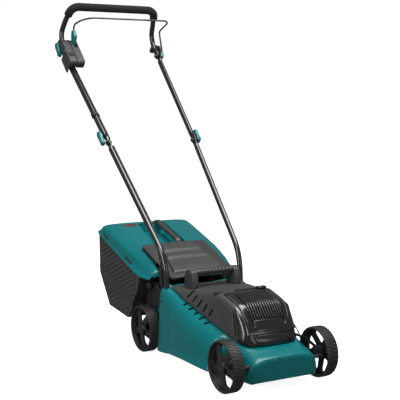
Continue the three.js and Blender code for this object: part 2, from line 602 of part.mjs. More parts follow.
function grassLid() {
  const lip = (y) => 243 + (y - 517) * 0.3235;
  const rows = [
    [474, [BOX_HALF - 16, lip(474)], [BOX_HALF - 20, lip(474) + 12], [150, 262]],
    [517, [BOX_HALF - 2, lip(517)], [BOX_HALF - 5, lip(517) + 12], [158, 281]],
    [611, [BOX_HALF, lip(611)], [BOX_HALF - 3, lip(611) + 14], [166, 318]],
    [817, [BOX_HALF, lip(817)], [BOX_HALF - 3, lip(817) + 14], [168, 379]],
    [845, [BOX_HALF - 4, lip(845)], [BOX_HALF - 8, lip(845) + 10], [158, 367]],
  ];
  const inner = [
    [478, [BOX_HALF - 20, lip(478) - 2], [BOX_HALF - 24, lip(478) + 10], [146, 258]],
    [517, [BOX_HALF - 6, lip(517) - 2], [BOX_HALF - 9, lip(517) + 10], [154, 277]],
    [611, [BOX_HALF - 4, lip(611) - 2], [BOX_HALF - 7, lip(611) + 12], [162, 314]],
    [815, [BOX_HALF - 4, lip(815) - 2], [BOX_HALF - 7, lip(815) + 12], [164, 374]],
    [841, [BOX_HALF - 8, lip(841) - 2], [BOX_HALF - 12, lip(841) + 8], [154, 362]],
  ];
  let lid = body(rows).subtract(body(inner));
  for (const s of [-1, 1]) {
    const [a, b] = [s * (MOUTH_HALF + 3), s * 200].sort((p, q) => p - q);
    lid = lid.subtract(block(a, b, 400, 518, 100, WING_FOOT));
  }
  const flapLine = [[465, 262], [465, 400], [FLAP_END.y + 1, 400], [FLAP_END.y + 1, 321]];
  lid = lid.subtract(prism('x', flapLine, -FLAP_HALF - 2, FLAP_HALF + 2));
  lid = lid.add(sunk(3, 3, -1)).subtract(sunk(0, 0, 40));
  const oval = solid(new THREE.CylinderGeometry(1, 1, 40, 20).rotateX(Math.PI / 2)
    .scale(INDICATOR.rx + 1, INDICATOR.ry + 1, 1).translate(INDICATOR.x, INDICATOR.y, 372));
  return lid.subtract(oval);
}

function fillIndicator() {
  const plate = new THREE.CylinderGeometry(1, 1, 3, 20).rotateX(Math.PI / 2);
  plate.scale(INDICATOR.rx, INDICATOR.ry, 1).rotateX(0.29);
  return solid(plate.translate(INDICATOR.x, INDICATOR.y, 370.5));
}

function boxHandle() {
  const { rear, deep } = GRIP_WELL;
  const outline = [overLid(640, GAP - deep), overLid(640, 2), overLid(648, 8), overLid(805, 8),
    overLid(811, 3), overLid(811, GAP), overLid(rear - 3, GAP), overLid(rear - 3, -3), overLid(652, -3),
    overLid(652, GAP - deep)];
  return prism('x', outline, 28, 48);
}

// ---- handle -------------------------------------------------------------------------------------
const side3 = (p, s) => V(s * p.h, p.y, p.z);
const between = (a, b, d) => b.clone().sub(a).setLength(d).add(a);

// flat tongue round a fold bolt, on one side of the plane x = bolt.h
function tongue(bolt, toward, s, lane) {
  const from = V(0, bolt.y, bolt.z);
  const dir = V(0, toward.y - bolt.y, toward.z - bolt.z).normalize();
  const across = V(0, -dir.z, dir.y);
  const reach = FOLD_L + 8;
  const outline = [];
  for (let i = 0; i <= 8; i++) {
    const a = Math.PI / 2 + (i / 8) * Math.PI;
    outline.push([11 * Math.cos(a), 11 * Math.sin(a)]);
  }
  outline.push([reach, -TUBE_R + 2], [reach, TUBE_R - 2]);
  const points = outline.map(([u, v]) => {
    const p = from.clone().addScaledVector(dir, u).addScaledVector(across, v);
    return [p.y, p.z];
  });
  const faces = [GAP / 2, TONGUE_T + GAP / 2].map((d) => s * (bolt.h + lane * d));
  const x = faces.sort((p, q) => p - q);
  const eye = rodX(s * bolt.h - 20, s * bolt.h + 20, bolt.y, bolt.z, CLAMP_R + GAP, 12);
  return { plate: prism('x', points, ...x), eye };
}

const IN = -1;
const OUT = 1;

function lowerTube(s) {
  const foot = side3(SOCKET, s);
  const top = side3(FOLD_LOW, s);
  const bend = side3(BEND, s);
  const path = rounded([foot, bend, between(top, bend, FOLD_L)], 60, 5);
  const { plate, eye } = tongue(FOLD_LOW, BEND, s, IN);
  return bar(path, TUBE_R, 12, TUBE_R - TUBE_WALL).add(plate).subtract(eye).subtract(tubeBoltHole(s));
}

function midTube(s) {
  const low = side3(FOLD_LOW, s);
  const up = side3(FOLD_UP, s);
  const pieces = [tongue(FOLD_LOW, FOLD_UP, s, OUT), tongue(FOLD_UP, FOLD_LOW, s, OUT)];
  const tube = bar([between(low, up, FOLD_L), between(up, low, FOLD_L)], TUBE_R, 12, TUBE_R - TUBE_WALL);
  return pieces.reduce((t, { plate, eye }) => t.add(plate).subtract(eye), tube);
}


function upperPath() {
  const fold = side3(FOLD_UP, 1);
  const above = side3(ABOVE, 1);
  const right = [between(fold, above, FOLD_L), above, V(186, 1137, 1058), V(179, 1108, 1104),
    V(170, 1082, 1136), side3(TOP_BAR, 1)];
  const left = right.map((p) => V(-p.x, p.y, p.z));
  return rounded([...left, ...right.reverse()], 26, 2);
}

function upperTube() {
  let tube = bar(upperPath(), TUBE_R, 10, TUBE_R - TUBE_WALL);
  for (const s of [-1, 1]) {
    const { plate, eye } = tongue(FOLD_UP, ABOVE, s, IN);
    tube = tube.add(plate).subtract(eye);
  }
  return tube;
}

// room for the upper tube and its fold end inside a bracket
function upperTubeSpace(s) {
  const bolt = side3(FOLD_UP, s);
  const above = side3(ABOVE, s);
  const end = rod(between(bolt, above, 8), between(bolt, above, FOLD_L + 4), TUBE_R + 0.8, 16);
  return bar(upperPath(), TUBE_R + 0.8, 12).add(end);
}

function gripSleeve() {
  const path = upperPath().filter((p) => p.z > 1116);
  return bar(path, GRIP_R, 10, TUBE_R + GAP);
}

function clampBolt(bolt, s) {
  const [a, b] = [s * (bolt.h - 13), s * (bolt.h + 9)].sort((p, q) => p - q);
  const [c, d] = [s * (bolt.h - 13), s * (bolt.h - 8)].sort((p, q) => p - q);
  return rodX(a, b, bolt.y, bolt.z, CLAMP_R, 12).add(rodX(c, d, bolt.y, bolt.z, 7, 6));
}

// quick-release lever outside a fold bolt, its paddle lying along the tube
function camLever(bolt, toward, s) {
  const dir = V(0, toward.y - bolt.y, toward.z - bolt.z).normalize();
  const across = V(0, -dir.z, dir.y);
  const centre = V(s * (bolt.h + CAM_OUT), bolt.y, bolt.z);
  const [low, high] = [-9, 9].map((d) => centre.clone().addScaledVector(across, d));
  const hub = rod(low, high, 8, 16);
  const outline = [[0, -9], [34, -12], [44, -8], [48, 0], [44, 8], [34, 12], [0, 9]];
  const points = outline.map(([u, v]) =>
    [u * dir.y + v * across.y + bolt.y, u * dir.z + v * across.z + bolt.z]);
  const x = [s * (bolt.h + CAM_OUT - 0.5), s * (bolt.h + CAM_OUT + 6.5)].sort((p, q) => p - q);
  return hub.add(prism('x', points, ...x));
}

// frame along the handle at the upper fold: a runs up the tube, p stands off it to the front
const RUN_UP = V(0, FOLD_UP.y - FOLD_LOW.y, FOLD_UP.z - FOLD_LOW.z).normalize();
const RUN_OFF = V(0, -RUN_UP.z, RUN_UP.y);
const atFold = (outline) => outline.map(([a, p]) => [
  FOLD_UP.y + a * RUN_UP.y + p * RUN_OFF.y,
  FOLD_UP.z + a * RUN_UP.z + p * RUN_OFF.z,
]);

const strapOutline = [[BOX_STRAP.from, -14], [BOX_STRAP.from, 14], [BOX_STRAP.to, 14], [BOX_STRAP.to, -14]];

function switchBox() {
  const main = atFold([[-92, 13], [-92, 38], [-84, 45], [22, 45], [50, 26], [54, 13]]);
  const strap = atFold(strapOutline);
  const cheek = atFold([[-92, -11], [-92, 14], [-20, 14], [-20, -11]]);
  let box = prism('x', main, ...BOX_X).add(prism('x', strap, -204, -168));
  box = box.add(prism('x', cheek, BOX_X[0], -FOLD_UP.h - TUBE_R - 2.5));
  box = box.subtract(upperTubeSpace(-1));
  const sweep = atFold([[-14, 10], [-14, 60], [70, 60], [70, 10]]);
  const lane = prism('x', sweep, PADDLE_X[0] - 1, PADDLE_X[1] + 1);
  const room = [[BUTTON.from - GAP, BUTTON.well], [BUTTON.from - GAP, 60], [BUTTON.to + GAP, 60],
    [BUTTON.to + GAP, BUTTON.well]];
  const well = prism('x', atFold(room), BUTTON.x[0] - GAP, BUTTON.x[1] + GAP);
  return box.subtract(lane).subtract(well);
}

function startButton() {
  const outline = [[BUTTON.from, BUTTON.foot], [BUTTON.from, BUTTON.top], [BUTTON.to, BUTTON.top],
    [BUTTON.to, BUTTON.foot]];
  return prism('x', atFold(outline), ...BUTTON.x);
}

const bailPivot = atFold([[BAIL_AXIS.a, BAIL_AXIS.p]])[0];

function bailPaddle() {
  const [y, z] = bailPivot;
  const hub = rodX(PADDLE_X[0], PADDLE_X[1], y, z, 8, 16);
  const side = [[y - 8, z], [y + 8, z], [1086, 1060], [1070, 1064], [1056, 1040]];
  const paddle = prism('x', side, ...PADDLE_X);
  return hub.add(paddle);
}

function bailRod() {
  const x = (PADDLE_X[0] + PADDLE_X[1]) / 2;
  const far = FOLD_UP.h + 13.6;
  const [y, z] = bailPivot;
  const path = rounded([
    V(x, 1077, 1065.8), V(x, 1068, 1084), V(-146, 1038, 1098), V(-112, 1022, 1106), V(188, 1020, 1106),
    V(far, 1036, 1100), V(far, 1108, 1072), V(far, y, z), V(FOLD_UP.h + 2, y, z),
  ], 14, 3);
  return bar(path, BAIL_R, 8);
}

// holds the bail's free end on the left tube
function bailBracket() {
  const lug = prism('x', atFold([[30, 12], [45, 11], [45, 18], [12, 31], [0, 29], [-3, 21], [3, 14.5]]),
    FOLD_UP.h + 3, FOLD_UP.h + 8);
  const ring = prism('x', atFold(strapOutline), FOLD_UP.h - 15, FOLD_UP.h + 12);
  const [y, z] = bailPivot;
  return lug.add(ring).subtract(upperTubeSpace(1))
    .subtract(rodX(FOLD_UP.h, FOLD_UP.h + 20, y, z, BAIL_R + RUN, 12));
}

// ---- cable along the operator's right tube ------------------------------------------------------
const cableOff = TUBE_R + CABLE_R + 1;

function cableMid() {
  const up = side3(FOLD_UP, -1).setX(-FOLD_UP.h + cableOff);
  const low = side3(FOLD_LOW, -1).setX(-FOLD_LOW.h + cableOff);
  return bar([between(up, low, 62), between(low, up, 16)], CABLE_R, 8);
}

function cableLow() {
  const top = side3(FOLD_LOW, -1).setX(-FOLD_LOW.h + cableOff);
  const bend = side3(BEND, -1).setX(-BEND.h + cableOff);
  const route = [between(top, bend, 16), between(bend, top, 130), V(-125, 474, 356), V(-138, 450, 328),
    V(-143, 427, 304), BOOT_TOP];
  return bar(rounded(route, 30, 3), CABLE_R, 8);
}

const BOOT_TOP = V(-143, 426, 288.5);

// strain relief behind the foot of the right tube
function cableBoot() {
  const top = BOOT_TOP.z - 0.5 - GAP;
  const outline = [[412.5, 200], [412.5, 236], [414, 250], [420, top], [432, top], [432, 262],
    [424, 234], [418, 224], [418, 200]];
  return prism('x', outline, -149, -137);
}

function cableClip(at, dir) {
  const half = dir.clone().setLength(7);
  const ring = (r) => rod(at.clone().sub(half), at.clone().add(half), r, 16);
  const hook = at.clone().setX(at.x + cableOff);
  const loop = rod(hook.clone().sub(half), hook.clone().add(half), CABLE_R + 2.4, 12);
  const long = dir.clone().setLength(10);
  const bores = [rod(at.clone().sub(long), at.clone().add(long), TUBE_R + GAP + 0.3, 16),
    rod(hook.clone().sub(long), hook.clone().add(long), CABLE_R + 0.5, 12)];
  return ring(TUBE_R + 2.6).add(loop).subtract(bores[0]).subtract(bores[1]);
}

// ---- the assembly -------------------------------------------------------------------------------
const TEAL = [0x0a7a7e, 0.28, 0];
const GREY = [0x4a4a4a, 0.6, 0];
const BLACK = [0x1c1c1c, 0.5, 0];
const PAINT = [0x111111, 0.25, 0.2];
const STEEL = [0x8a8d90, 0.35, 0.9];
const FOAM = [0x181818, 0.9, 0];
const SMOKE = [0x3a3c3e, 0.15, 0];

const mower = new THREE.Group();

function add(name, manifold, [color, roughness, metalness]) {
  const material = new THREE.MeshStandardMaterial({ color, roughness, metalness });
  const mesh = new THREE.Mesh(geometryOf(manifold), material);
  mesh.name = name;
  mower.add(mesh);
}

add('deck_shell', deckShell(), TEAL);
add('motor_cover', motorCover(), GREY);
add('battery_lid', batteryLid(), GREY);
add('lid_window', lidWindow(), SMOKE);
add('battery_tray', batteryTray(), BLACK);
add('battery_pack_right', batteryPack(-1), BLACK);
add('battery_pack_left', batteryPack(1), BLACK);
add('motor_can', motorCan(), STEEL);
add('controller_box', controllerBox(), BLACK);
add('lid_pin', lidPin(), STEEL);
add('rotor', rotor(), STEEL);
add('blade_holder', bladeHolder(), BLACK);
add('blade', blade(), STEEL);
add('blade_bolt', bladeBolt(), STEEL);
add('front_axle', crankedAxle(0), STEEL);
add('rear_axle', crankedAxle(WHEELBASE), STEEL);
add('link_rod', linkRod(), STEEL);
add('height_lever', heightLever(), STEEL);
add('height_knob', leverKnob(), BLACK);
add('height_quadrant', quadrant(), BLACK);
for (const [end, y] of [['front', 0], ['rear', WHEELBASE]]) {
  for (const [hand, side] of [['right', -1], ['left', 1]]) {
    add(`${end}_wheel_${hand}`, wheel(side, y), BLACK);
    add(`${end}_hub_cap_${hand}`, hubCap(side, y), BLACK);
  }
}
add('rear_flap', rearFlap(), GREY);
add('flap_pin', flapPin(), STEEL);
add('flap_spring', flapSpring(), STEEL);
add('grass_basket', basket(), BLACK);
add('grass_lid', grassLid(), TEAL);
add('fill_indicator', fillIndicator(), [0x6a2d2a, 0.4, 0]);
add('box_handle', boxHandle(), GREY);
for (const [hand, side] of [['right', -1], ['left', 1]]) {
  add(`lower_tube_${hand}`, lowerTube(side), PAINT);
  add(`tube_bolt_${hand}`, tubeBolt(side), STEEL);
  add(`mid_tube_${hand}`, midTube(side), PAINT);
  add(`lower_clamp_bolt_${hand}`, clampBolt(FOLD_LOW, side), STEEL);
  add(`upper_clamp_bolt_${hand}`, clampBolt(FOLD_UP, side), STEEL);
  add(`lower_cam_lever_${hand}`, camLever(FOLD_LOW, FOLD_UP, side), TEAL);
  add(`upper_cam_lever_${hand}`, camLever(FOLD_UP, ABOVE, side), TEAL);
}
add('upper_tube', upperTube(), PAINT);
add('grip_sleeve', gripSleeve(), FOAM);
add('switch_box', switchBox(), GREY);
add('start_button', startButton(), BLACK);
add('bail_rod', bailRod(), PAINT);
add('bail_paddle', bailPaddle(), TEAL);
add('bail_bracket', bailBracket(), BLACK);
add('cable_mid', cableMid(), BLACK);
add('cable_low', cableLow(), BLACK);
add('cable_boot', cableBoot(), BLACK);
const clipRun = side3(FOLD_UP, -1).sub(side3(FOLD_LOW, -1));
add('cable_clip', cableClip(between(side3(FOLD_LOW, -1), side3(FOLD_UP, -1), 132), clipRun), BLACK);

// the middle of the overall length stands over the origin
const box = new THREE.Box3().setFromObject(mower);
mower.position.y = -(box.min.y + box.max.y) / 2;

export default mower;
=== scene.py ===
import math

import bmesh
import bpy
from mathutils import Matrix, Vector


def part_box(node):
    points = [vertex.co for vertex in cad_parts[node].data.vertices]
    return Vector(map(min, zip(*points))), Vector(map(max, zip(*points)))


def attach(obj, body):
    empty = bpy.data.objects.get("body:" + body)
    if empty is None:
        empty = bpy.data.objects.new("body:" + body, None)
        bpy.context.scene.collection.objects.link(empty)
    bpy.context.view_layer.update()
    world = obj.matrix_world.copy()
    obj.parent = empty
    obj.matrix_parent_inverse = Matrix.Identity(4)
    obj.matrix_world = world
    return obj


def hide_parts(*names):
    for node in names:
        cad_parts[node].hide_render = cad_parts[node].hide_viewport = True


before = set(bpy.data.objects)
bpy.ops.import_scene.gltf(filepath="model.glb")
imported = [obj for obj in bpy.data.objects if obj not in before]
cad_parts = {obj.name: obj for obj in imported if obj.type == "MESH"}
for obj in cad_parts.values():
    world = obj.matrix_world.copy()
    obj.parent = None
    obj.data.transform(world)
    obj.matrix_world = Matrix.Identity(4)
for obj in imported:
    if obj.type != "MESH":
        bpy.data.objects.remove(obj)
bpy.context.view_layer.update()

# ---- studio --------------------------------------------------------------------------------------
# A plain white sweep, one long softbox on the operator's right, one overhead and a weak fill.
# Places are in millimetres from the ground under the front axle. Lamps, floor, welds and the depth of
# surface grain are in metres.
low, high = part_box("front_wheel_right")
FRONT_AXLE = (low.y + high.y) / 2


def at(x, y, z):
    """A point given in millimetres from the ground under the front axle, in the frame's metres."""
    return Vector((x / 1000, y / 1000 + FRONT_AXLE, z / 1000))


def shown(thing):
    """Links a new object to the scene."""
    bpy.context.scene.collection.objects.link(thing)
    return thing


FILM_WIDTH, LENS = 36, 85.43
TRIPOD = at(-1500.5, -2207.4, 825.0)
TILT, PAN = 83.736, -29.661
camera = shown(bpy.data.objects.new("camera", bpy.data.cameras.new("camera")))
camera.data.sensor_width = FILM_WIDTH
camera.data.lens = LENS
camera.location = TRIPOD
camera.rotation_euler = (math.radians(TILT), 0, math.radians(PAN))
bpy.context.scene.camera = camera

SEEN_WHITE, AMBIENT = 1.02, 0.2
world = bpy.data.worlds.new("studio")
world.use_nodes = True
backdrop = world.node_tree.nodes["Background"]
ambient = world.node_tree.nodes.new("ShaderNodeBackground")
seen = world.node_tree.nodes.new("ShaderNodeLightPath")
either = world.node_tree.nodes.new("ShaderNodeMixShader")
for sky, strength in ((backdrop, SEEN_WHITE), (ambient, AMBIENT)):
    sky.inputs["Color"].default_value = (1, 1, 1, 1)
    sky.inputs["Strength"].default_value = strength
for output, socket in ((seen.outputs["Is Camera Ray"], either.inputs["Fac"]),
                       (ambient.outputs["Background"], either.inputs[1]),
                       (backdrop.outputs["Background"], either.inputs[2]),
                       (either.outputs["Shader"], world.node_tree.nodes["World Output"].inputs["Surface"])):
    world.node_tree.links.new(output, socket)
bpy.context.scene.world = world
bpy.context.scene.view_settings.view_transform = "Standard"


def softbox(name, place, aim, width, height, watts):
    """A rectangular lamp that looks from one point to another."""
    lamp = shown(bpy.data.objects.new(name, bpy.data.lights.new(name, "AREA")))
    lamp.data.shape = "RECTANGLE"
    lamp.data.size = width
    lamp.data.size_y = height
    lamp.data.energy = watts
    lamp.location = place
    lamp.rotation_euler = (aim - place).to_track_quat("-Z", "Y").to_euler()


softbox("side_softbox", at(-2600, -500, 1500), at(0, 200, 350), 0.6, 2.2, 45)
softbox("top_softbox", at(300, -200, 2900), at(0, 200, 200), 2.4, 1.6, 95)
softbox("front_fill", at(900, -2900, 1300), at(0, 0, 200), 1.6, 1.2, 10)

FLOOR_HALF, FLOOR_DROP = 30, 0.0004
FLOOR_PAINT = {"Base Color": (0.93, 0.93, 0.93, 1), "Roughness": 0.6, "Emission Color": (1, 1, 1, 1),
               "Emission Strength": 0.88}
sweep_mesh = bmesh.new()
bmesh.ops.create_grid(sweep_mesh, x_segments=1, y_segments=1, size=FLOOR_HALF)
floor = shown(bpy.data.objects.new("floor", bpy.data.meshes.new("floor")))
sweep_mesh.to_mesh(floor.data)
sweep_mesh.free()
floor.location.z = -FLOOR_DROP
floor_paint = bpy.data.materials.new("floor_paint")
floor_paint.use_nodes = True
for socket, value in FLOOR_PAINT.items():
    floor_paint.node_tree.nodes["Principled BSDF"].inputs[socket].default_value = value
floor.data.materials.append(floor_paint)
floor.visible_diffuse = False
floor.visible_glossy = False

# ---- deck ----------------------------------------------------------------------------------------
# The cutting deck is one gloss ABS moulding, 3 mm thick and open below. A rolled flange stiffens its
# foot, a bulge on each side clears the blade, and the narrow nose runs between the front wheels.


class Value:
    """One shader value. Plain arithmetic on it adds the Math nodes that work it out."""

    def __init__(self, paint, socket):
        self.paint = paint
        self.socket = socket

    def maths(self, operation, first, second):
        return self.paint.node("ShaderNodeMath", {"operation": operation}, {0: first, 1: second})

    def __add__(self, other):
        return self.maths("ADD", self, other)

    def __rsub__(self, other):
        return self.maths("SUBTRACT", other, self)

    def __mul__(self, other):
        return self.maths("MULTIPLY", self, other)

    def __gt__(self, other):
        return self.maths("GREATER_THAN", self, other)


class Paint:
    """A material: one Principled shader and the nodes that feed it."""

    def __init__(self, name, **sockets):
        self.material = bpy.data.materials.new(name)
        self.material.use_nodes = True
        self.tree = self.material.node_tree
        self.shader = self.tree.nodes["Principled BSDF"]
        for key, value in sockets.items():
            self.set(key.replace("_", " "), value)

    def set(self, key, value):
        """Gives one of the shader's own sockets a number, a colour or a link."""
        names = {name.lower(): name for name in self.shader.inputs.keys()}
        self.feed(self.shader.inputs[names[key.lower()]], value)

    def feed(self, socket, value):
        if isinstance(value, Value):
            self.tree.links.new(value.socket, socket)
        elif socket.type == "RGBA":
            socket.default_value = (*value[:3], 1)
        else:
            socket.default_value = value

    def node(self, kind, settings=(), sockets=(), out=0):
        """Adds a node: its settings first, then its sockets."""
        made = self.tree.nodes.new(kind)
        for key, value in dict(settings).items():
            setattr(made, key, value)
        for key, value in dict(sockets).items():
            self.feed(made.inputs[key], value)
        return Value(self, made.outputs[out])

    def place(self, stretch=(1, 1, 1)):
        """Object coordinates in metres, stretched along each axis."""
        here = self.node("ShaderNodeTexCoord", out=3)
        return self.node("ShaderNodeMapping", {}, {0: here, 3: stretch})

    def noise(self, scale, detail, stretch=(1, 1, 1)):
        """Soft noise over the piece, from 0 to 1."""
        place = self.place(stretch)
        return self.node("ShaderNodeTexNoise", {}, {"Vector": place, "Scale": scale, "Detail": detail})

    def mix(self, share, first, second):
        """One colour or another, by a share from 0 to 1."""
        return self.node("ShaderNodeMix", {"data_type": "RGBA"}, {0: share, 6: first, 7: second}, out=2)

    def bump(self, height, strength, depth):
        """Grain of a depth in metres."""
        sockets = {"Height": height, "Strength": strength, "Distance": depth}
        self.set("normal", self.node("ShaderNodeBump", {}, sockets))


def shade(colour, factor):
    """A colour made lighter or darker."""
    return tuple(channel * factor for channel in colour)


CLOUDS, CLOUD_DEPTH = 9.0, 0.12
MARKS, MARK_DEPTH = 38.0, 0.22


def clouded(paint, colour):
    """A colour with the faint cloudiness of pigment in plastic."""
    cloud = paint.noise(CLOUDS, 3.0)
    return paint.mix(cloud, shade(colour, 1 - CLOUD_DEPTH), shade(colour, 1 + CLOUD_DEPTH))


def handled(paint):
    """Handling marks, drawn out fore and aft, as a change of roughness."""
    return paint.noise(MARKS, 6.0, (1, 0.35, 1)) * MARK_DEPTH


def moulded(name, colour, roughness, grain, depth, **sockets):
    """Moulded plastic: a faint cloudiness in its colour, handling marks in its gloss, and mould grain."""
    paint = Paint(name, **sockets)
    paint.set("base color", clouded(paint, colour))
    paint.set("roughness", handled(paint) + (roughness - MARK_DEPTH / 2))
    paint.bump(paint.noise(grain, 2.0), 0.5, depth)
    return paint.material


TEAL = (0.0, 0.150, 0.160)
teal_gloss = moulded("teal_gloss", TEAL, 0.27, 700.0, 0.00004, coat_weight=0.12, coat_roughness=0.12,
                     specular_ior_level=0.3)


def cage(rows):
    """Quads over rows of points, one row for each station along a piece."""
    bm = bmesh.new()
    bmesh.ops.create_grid(bm, x_segments=len(rows[0]) - 1, y_segments=len(rows) - 1, size=1)
    for vertex, point in zip(list(bm.verts), [point for row in rows for point in row]):
        vertex.co = point
    return bm


def whole(half):
    """A half section, bottom to top, with its mirror image: from one foot over the top to the other."""
    return [(-x, z) for x, z in half] + [(x, z) for x, z in reversed(half)]


def sections(table):
    """Rows of points from a table of (y, half section)."""
    return [[at(x, y, z) for x, z in whole(half)] for y, half in table]


def thick(thing, wall, offset=-1.0):
    """Gives a skin its wall, inwards."""
    modifier = thing.modifiers.new("wall", "SOLIDIFY")
    modifier.thickness = wall / 1000
    modifier.offset = offset


def rounded(thing):
    """Rounds a cage into a smooth moulding."""
    modifier = thing.modifiers.new("round", "SUBSURF")
    modifier.levels = modifier.render_levels = 2


WELD = 0.000002


def piece(name, bm, body, paint, stands_for=(), sharp=40):
    """A finished mesh that rides on a body, wears a paint and may stand for CAD nodes."""
    bmesh.ops.remove_doubles(bm, verts=bm.verts, dist=WELD)
    bmesh.ops.recalc_face_normals(bm, faces=bm.faces)
    mesh = bpy.data.meshes.new(name)
    bm.to_mesh(mesh)
    bm.free()
    mesh.shade_smooth()
    mesh.set_sharp_from_angle(angle=math.radians(sharp))
    mesh.materials.append(paint)
    thing = shown(bpy.data.objects.new(name, mesh))
    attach(thing, body)
    if stands_for:
        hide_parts(*stands_for)
    return thing


def mm(point):
    """A point in the frame, back in millimetres from the ground under the front axle."""
    return point.x * 1000, (point.y - FRONT_AXLE) * 1000, point.z * 1000


def crease(bm, value, test):
    """Keeps the edges whose two ends pass a test, in millimetres, crisp when the cage is rounded."""
    layer = bm.edges.layers.float.get("crease_edge") or bm.edges.layers.float.new("crease_edge")
    for edge in bm.edges:
        if test(*[mm(vertex.co) for vertex in edge.verts]):
            edge[layer] = value


def opened(bm, test):
    """Takes out the faces whose middle passes a test of (x, y)."""
    gone = [face for face in bm.faces if test(*mm(face.calc_center_median())[:2])]
    bmesh.ops.delete(bm, geom=gone, context="FACES")


SEAM_HEIGHT = 116
SEAM_RISE = 0.285
DECK_WALL = 3
NOSE_FRONT = -57
BAY_HALF = 60


def seam(y):
    """Height of the seam between deck and motor cover."""
    return SEAM_HEIGHT + SEAM_RISE * y


deck = cage(sections([
    (-58, [(96, 30), (104, 36), (108, 48), (107, 64), (100, 86), (62, 93), (20, 94)]),
    (-52, [(108, 27), (113, 34), (115, 48), (114, 64), (107, 90), (66, 99), (20, 100)]),
    (-20, [(114, 27), (117, 34), (118, 48), (117, 66), (110, 98), (72, 108), (20, 109)]),
    (2, [(114, 27), (117, 34), (118, 48), (117, 68), (111, 103), (84, 114), (20, 115)]),
    (60, [(114, 28), (117, 36), (119, 52), (119, 76), (114, 120), (96, 133), (20, 133)]),
    (80, [(118, 30), (122, 38), (124, 56), (122, 84), (117, 127), (101, 138), (20, 138)]),
    (89, [(152, 33), (155, 42), (150, 60), (143, 100), (130, 133), (108, 141), (20, 141)]),
    (99, [(167, 36), (168, 46), (161, 57), (156, 96), (140, 134), (111, 143.5), (20, 143)]),
    (150, [(172, 38), (172, 47), (166, 56), (166, 102), (147, 149), (117, 158), (20, 158)]),
    (230, [(172, 38), (172, 47), (167, 56), (168, 120), (150, 170), (121, 181), (20, 181)]),
    (300, [(172, 36), (172, 45), (167, 54), (168, 136), (152, 190), (126, 201), (20, 201)]),
    (326, [(171, 34), (171, 43), (166, 52), (166, 142), (152, 197), (129, 208.5), (20, 208)]),
    (333, [(167, 32), (167, 41), (161, 50), (160, 144), (147, 199), (130, 210.5), (20, 210)]),
    (340, [(168, 30), (168, 39), (163, 48), (163, 147), (152, 203), (132, 212.5), (20, 212)]),
    (382, [(167, 25), (167, 34), (164, 44), (163, 152), (155, 214), (138, 224.5), (20, 224)]),
    (411, [(166, 23), (166, 32), (162, 42), (160, 154), (154, 222), (142, 232.5), (20, 232)]),
]))
opened(deck, lambda x, y: abs(x) < BAY_HALF and y > 2)
crease(deck, 0.9, lambda a, b: min(a[2], b[2]) < 40 and abs(a[0] - b[0]) < 30)
nose_rim = [edge for edge in deck.edges
            if edge.is_boundary and max(mm(vertex.co)[1] for vertex in edge.verts) < NOSE_FRONT]
bmesh.ops.contextual_create(deck, geom=nose_rim)
crease(deck, 0.55, lambda a, b: max(a[1], b[1]) < NOSE_FRONT)
deck_skin = piece("deck_skin", deck, "deck", teal_gloss, ["deck_shell"])
thick(deck_skin, DECK_WALL)
rounded(deck_skin)

# ---- deck floor and cheeks -----------------------------------------------------------------------
# Inside the moulding a round chamber surrounds the blade, and its ceiling carries the motor. Two
# cheeks and a ramp run back to the rear axle and lead the grass up into the box.
BLADE_CENTRE = 215
CHAMBER_BACK = 372
CHEEK_FACES = (124.5, 129.8)


def fillet(points, radius, steps=4, closed=True):
    """Corners of a chain of points turned into arcs of at most the given radius."""
    points = [Vector(point) for point in points]
    arcs = []
    for i, corner in enumerate(points):
        if not closed and i in (0, len(points) - 1):
            arcs.append(corner)
            continue
        back = points[i - 1] - corner
        ahead = points[(i + 1) % len(points)] - corner
        cut = min(radius, back.length * 0.45, ahead.length * 0.45)
        start = corner + back.normalized() * cut
        end = corner + ahead.normalized() * cut
        for k in range(steps + 1):
            share = k / steps
            arcs.append(start.lerp(corner, share).lerp(corner.lerp(end, share), share))
    return arcs


TURN_YZ = Matrix(((0, 0, 1), (1, 0, 0), (0, 1, 0)))
TURN_XY = Matrix.Identity(3)


def from_curve(curve):
    """The mesh of a curve, which is then dropped."""
    thing = shown(bpy.data.objects.new("curve", curve))
    mesh = bpy.data.meshes.new_from_object(thing.evaluated_get(bpy.context.evaluated_depsgraph_get()))
    bm = bmesh.new()
    bm.from_mesh(mesh)
    bpy.data.objects.remove(thing)
    bpy.data.curves.remove(curve)
    bpy.data.meshes.remove(mesh)
    return bm


def plate(loops, low, high, edge=0.8, turn=TURN_YZ, steps=2):
    """A plate with eased edges. The first loop is its outline and the others are holes, in millimetres:
    (y, z) with low and high along X, or with TURN_XY (x, y) with low and high along Z."""
    curve = bpy.data.curves.new("plate", "CURVE")
    curve.dimensions = "2D"
    curve.fill_mode = "BOTH"
    curve.extrude = (high - low) / 2 - edge
    curve.bevel_depth = edge
    curve.bevel_resolution = steps
    curve.offset = -edge
    for loop in loops:
        spline = curve.splines.new("POLY")
        spline.points.add(len(loop) - 1)
        for point, (u, v) in zip(spline.points, loop):
            point.co = (u, v, 0, 1)
        spline.use_cyclic_u = True
    bm = from_curve(curve)
    bmesh.ops.remove_doubles(bm, verts=bm.verts, dist=0.001)
    for vertex in bm.verts:
        x, y, z = turn @ (vertex.co + Vector((0, 0, (low + high) / 2)))
        vertex.co = at(x, y, z)
    return bm


def joined(*parts):
    """Several meshes as one."""
    bm = bmesh.new()
    for part in parts:
        mesh = bpy.data.meshes.new("part")
        part.to_mesh(mesh)
        part.free()
        bm.from_mesh(mesh)
        bpy.data.meshes.remove(mesh)
    return bm


